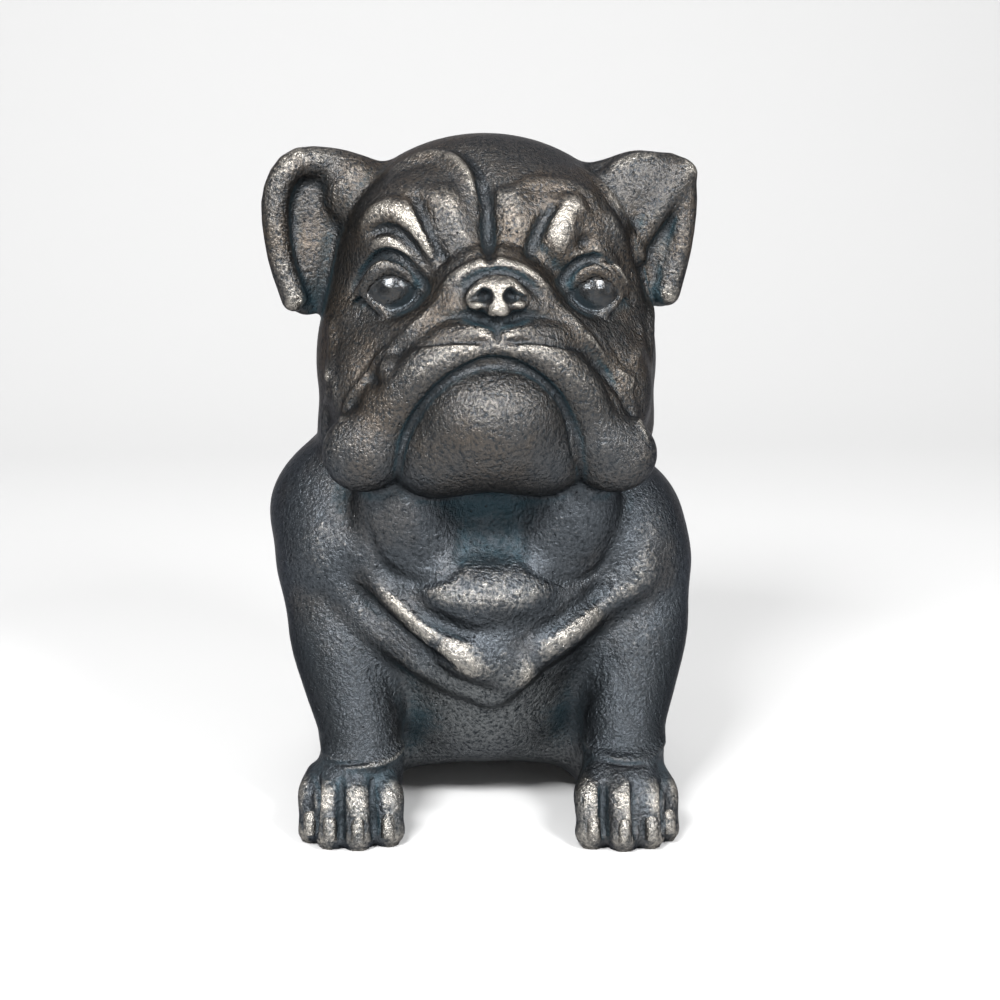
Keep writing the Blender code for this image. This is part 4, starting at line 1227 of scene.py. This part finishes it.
def sweep_mesh():
    """A floor that turns up into a backdrop behind the statue."""
    bm = bmesh.new()
    profile = [(-SWEEP_HALF, 0.0), (SWEEP_START, 0.0)]
    for turn in range(1, SWEEP_TURNS + 1):
        angle = math.radians(90 * turn / SWEEP_TURNS)
        profile.append((SWEEP_START + SWEEP_RADIUS * math.sin(angle), SWEEP_RADIUS * (1 - math.cos(angle))))
    profile.append((SWEEP_START + SWEEP_RADIUS, SWEEP_HALF))
    rows = [[bm.verts.new((side, along, up)) for along, up in profile] for side in (-SWEEP_HALF, SWEEP_HALF)]
    for first in range(len(profile) - 1):
        bm.faces.new((rows[0][first], rows[0][first + 1], rows[1][first + 1], rows[1][first]))
    bmesh.ops.recalc_face_normals(bm, faces=bm.faces)
    if bm.faces[0].normal.z < 0:
        bmesh.ops.reverse_faces(bm, faces=bm.faces)
    for face in bm.faces:
        face.smooth = True
    return mesh_of("floor", bm)


# Each lamp's name, the setting that holds its power, its place, what it points at, and its size.
LAMPS = (
    ("main lamp", "key_power", (-0.4, -0.95, 1.05), (0, 0, 0.2), (0.4, 0.3)),
    ("second lamp", "second_power", (0.55, -0.9, 0.95), (0, 0, 0.2), (0.3, 0.3)),
    ("fill lamp", "fill_power", (0.15, -1.3, 0.3), (0, 0, 0.15), (1.2, 0.5)),
    ("right lamp", "side_power", (0.95, -0.4, 0.5), (0, 0, 0.2), (0.35, 0.8)),
    ("left lamp", "side_power", (-1.0, -0.2, 0.45), (0, 0, 0.2), (0.3, 0.8)),
    ("backdrop lamp", "backdrop_power", (0, 0.9, 1.9), (0, 1.5, 0.2), (3.0, 0.6)),
)


def lamp(name, power, place, target, size):
    light = bpy.data.lights.new(name, "AREA")
    light.shape = "RECTANGLE"
    light.size, light.size_y = size
    light.energy = power
    holder = bpy.data.objects.new(name, light)
    bpy.context.scene.collection.objects.link(holder)
    holder.location = place
    holder.rotation_euler = (Vector(target) - Vector(place)).to_track_quat("-Z", "Y").to_euler()
    return holder


def camera_at_photo():
    side, lift = math.radians(EYE_SIDE), math.radians(EYE_LIFT)
    back = Vector((math.sin(side) * math.cos(lift), -math.cos(side) * math.cos(lift), math.sin(lift)))
    data = bpy.data.cameras.new("camera")
    data.sensor_width = SENSOR_WIDTH
    data.lens = SENSOR_WIDTH * LENS_REACH
    data.clip_start, data.clip_end = 0.05, 50.0
    camera = bpy.data.objects.new("camera", data)
    bpy.context.scene.collection.objects.link(camera)
    middle = Vector((*CLAY_MIDDLE, 0))
    camera.location = (Vector(EYE_AIM) + back * EYE_DISTANCE - middle) * UNIT
    camera.rotation_euler = (-back).to_track_quat("-Z", "Y").to_euler()
    bpy.context.scene.camera = camera
    return camera


class BULLDOG_OT_stage(bpy.types.Operator):
    """Set up the plain pale floor, the soft studio light and the camera"""

    bl_idname = "bulldog.stage"
    bl_label = "Studio and camera"

    def execute(self, context):
        stage = context.scene.bulldog_stage
        floor = bpy.data.objects.new("floor", sweep_mesh())
        context.scene.collection.objects.link(floor)
        paper = bpy.data.materials.new("studio_paper")
        paper.use_nodes = True
        shader = paper.node_tree.nodes["Principled BSDF"]
        shader.inputs["Base Color"].default_value = stage.floor_colour[:]
        shader.inputs["Roughness"].default_value = 0.9
        floor.data.materials.append(paper)
        world = bpy.data.worlds.new("room")
        world.use_nodes = True
        world.node_tree.nodes["Background"].inputs["Color"].default_value = (1, 1, 1, 1)
        world.node_tree.nodes["Background"].inputs["Strength"].default_value = stage.sky_strength
        context.scene.world = world
        for name, power, *where in LAMPS:
            lamp(name, getattr(stage, power), *where)
        camera_at_photo()
        context.scene.view_settings.view_transform = "Standard"
        return {"FINISHED"}


class BULLDOG_PT_panel(bpy.types.Panel):
    """Sizes, colours and steps of the garden bulldog"""

    bl_idname = "BULLDOG_PT_panel"
    bl_label = "Garden bulldog"
    bl_space_type = "VIEW_3D"
    bl_region_type = "UI"
    bl_category = "Garden bulldog"

    def draw(self, context):
        layout = self.layout
        scene = context.scene
        for group in (scene.bulldog_sizes, scene.bulldog_colours, scene.bulldog_stage):
            box = layout.box()
            for name in type(group).__annotations__:
                box.prop(group, name)
        for operator in (BULLDOG_OT_statue, BULLDOG_OT_claws, BULLDOG_OT_stage):
            layout.operator(operator.bl_idname)


CLASSES = (
    StatueSizes, FinishColours, StageSettings,
    BULLDOG_OT_statue, BULLDOG_OT_claws, BULLDOG_OT_stage, BULLDOG_PT_panel,
)


def register():
    for each in CLASSES:
        bpy.utils.register_class(each)
    bpy.types.Scene.bulldog_sizes = PointerProperty(type=StatueSizes)
    bpy.types.Scene.bulldog_colours = PointerProperty(type=FinishColours)
    bpy.types.Scene.bulldog_stage = PointerProperty(type=StageSettings)


def unregister():
    del bpy.types.Scene.bulldog_stage
    del bpy.types.Scene.bulldog_colours
    del bpy.types.Scene.bulldog_sizes
    for each in reversed(CLASSES):
        bpy.utils.unregister_class(each)


def main():
    register()
    bpy.ops.bulldog.statue()
    bpy.ops.bulldog.claws()
    bpy.ops.bulldog.stage()


if __name__ == "__main__":
    main()
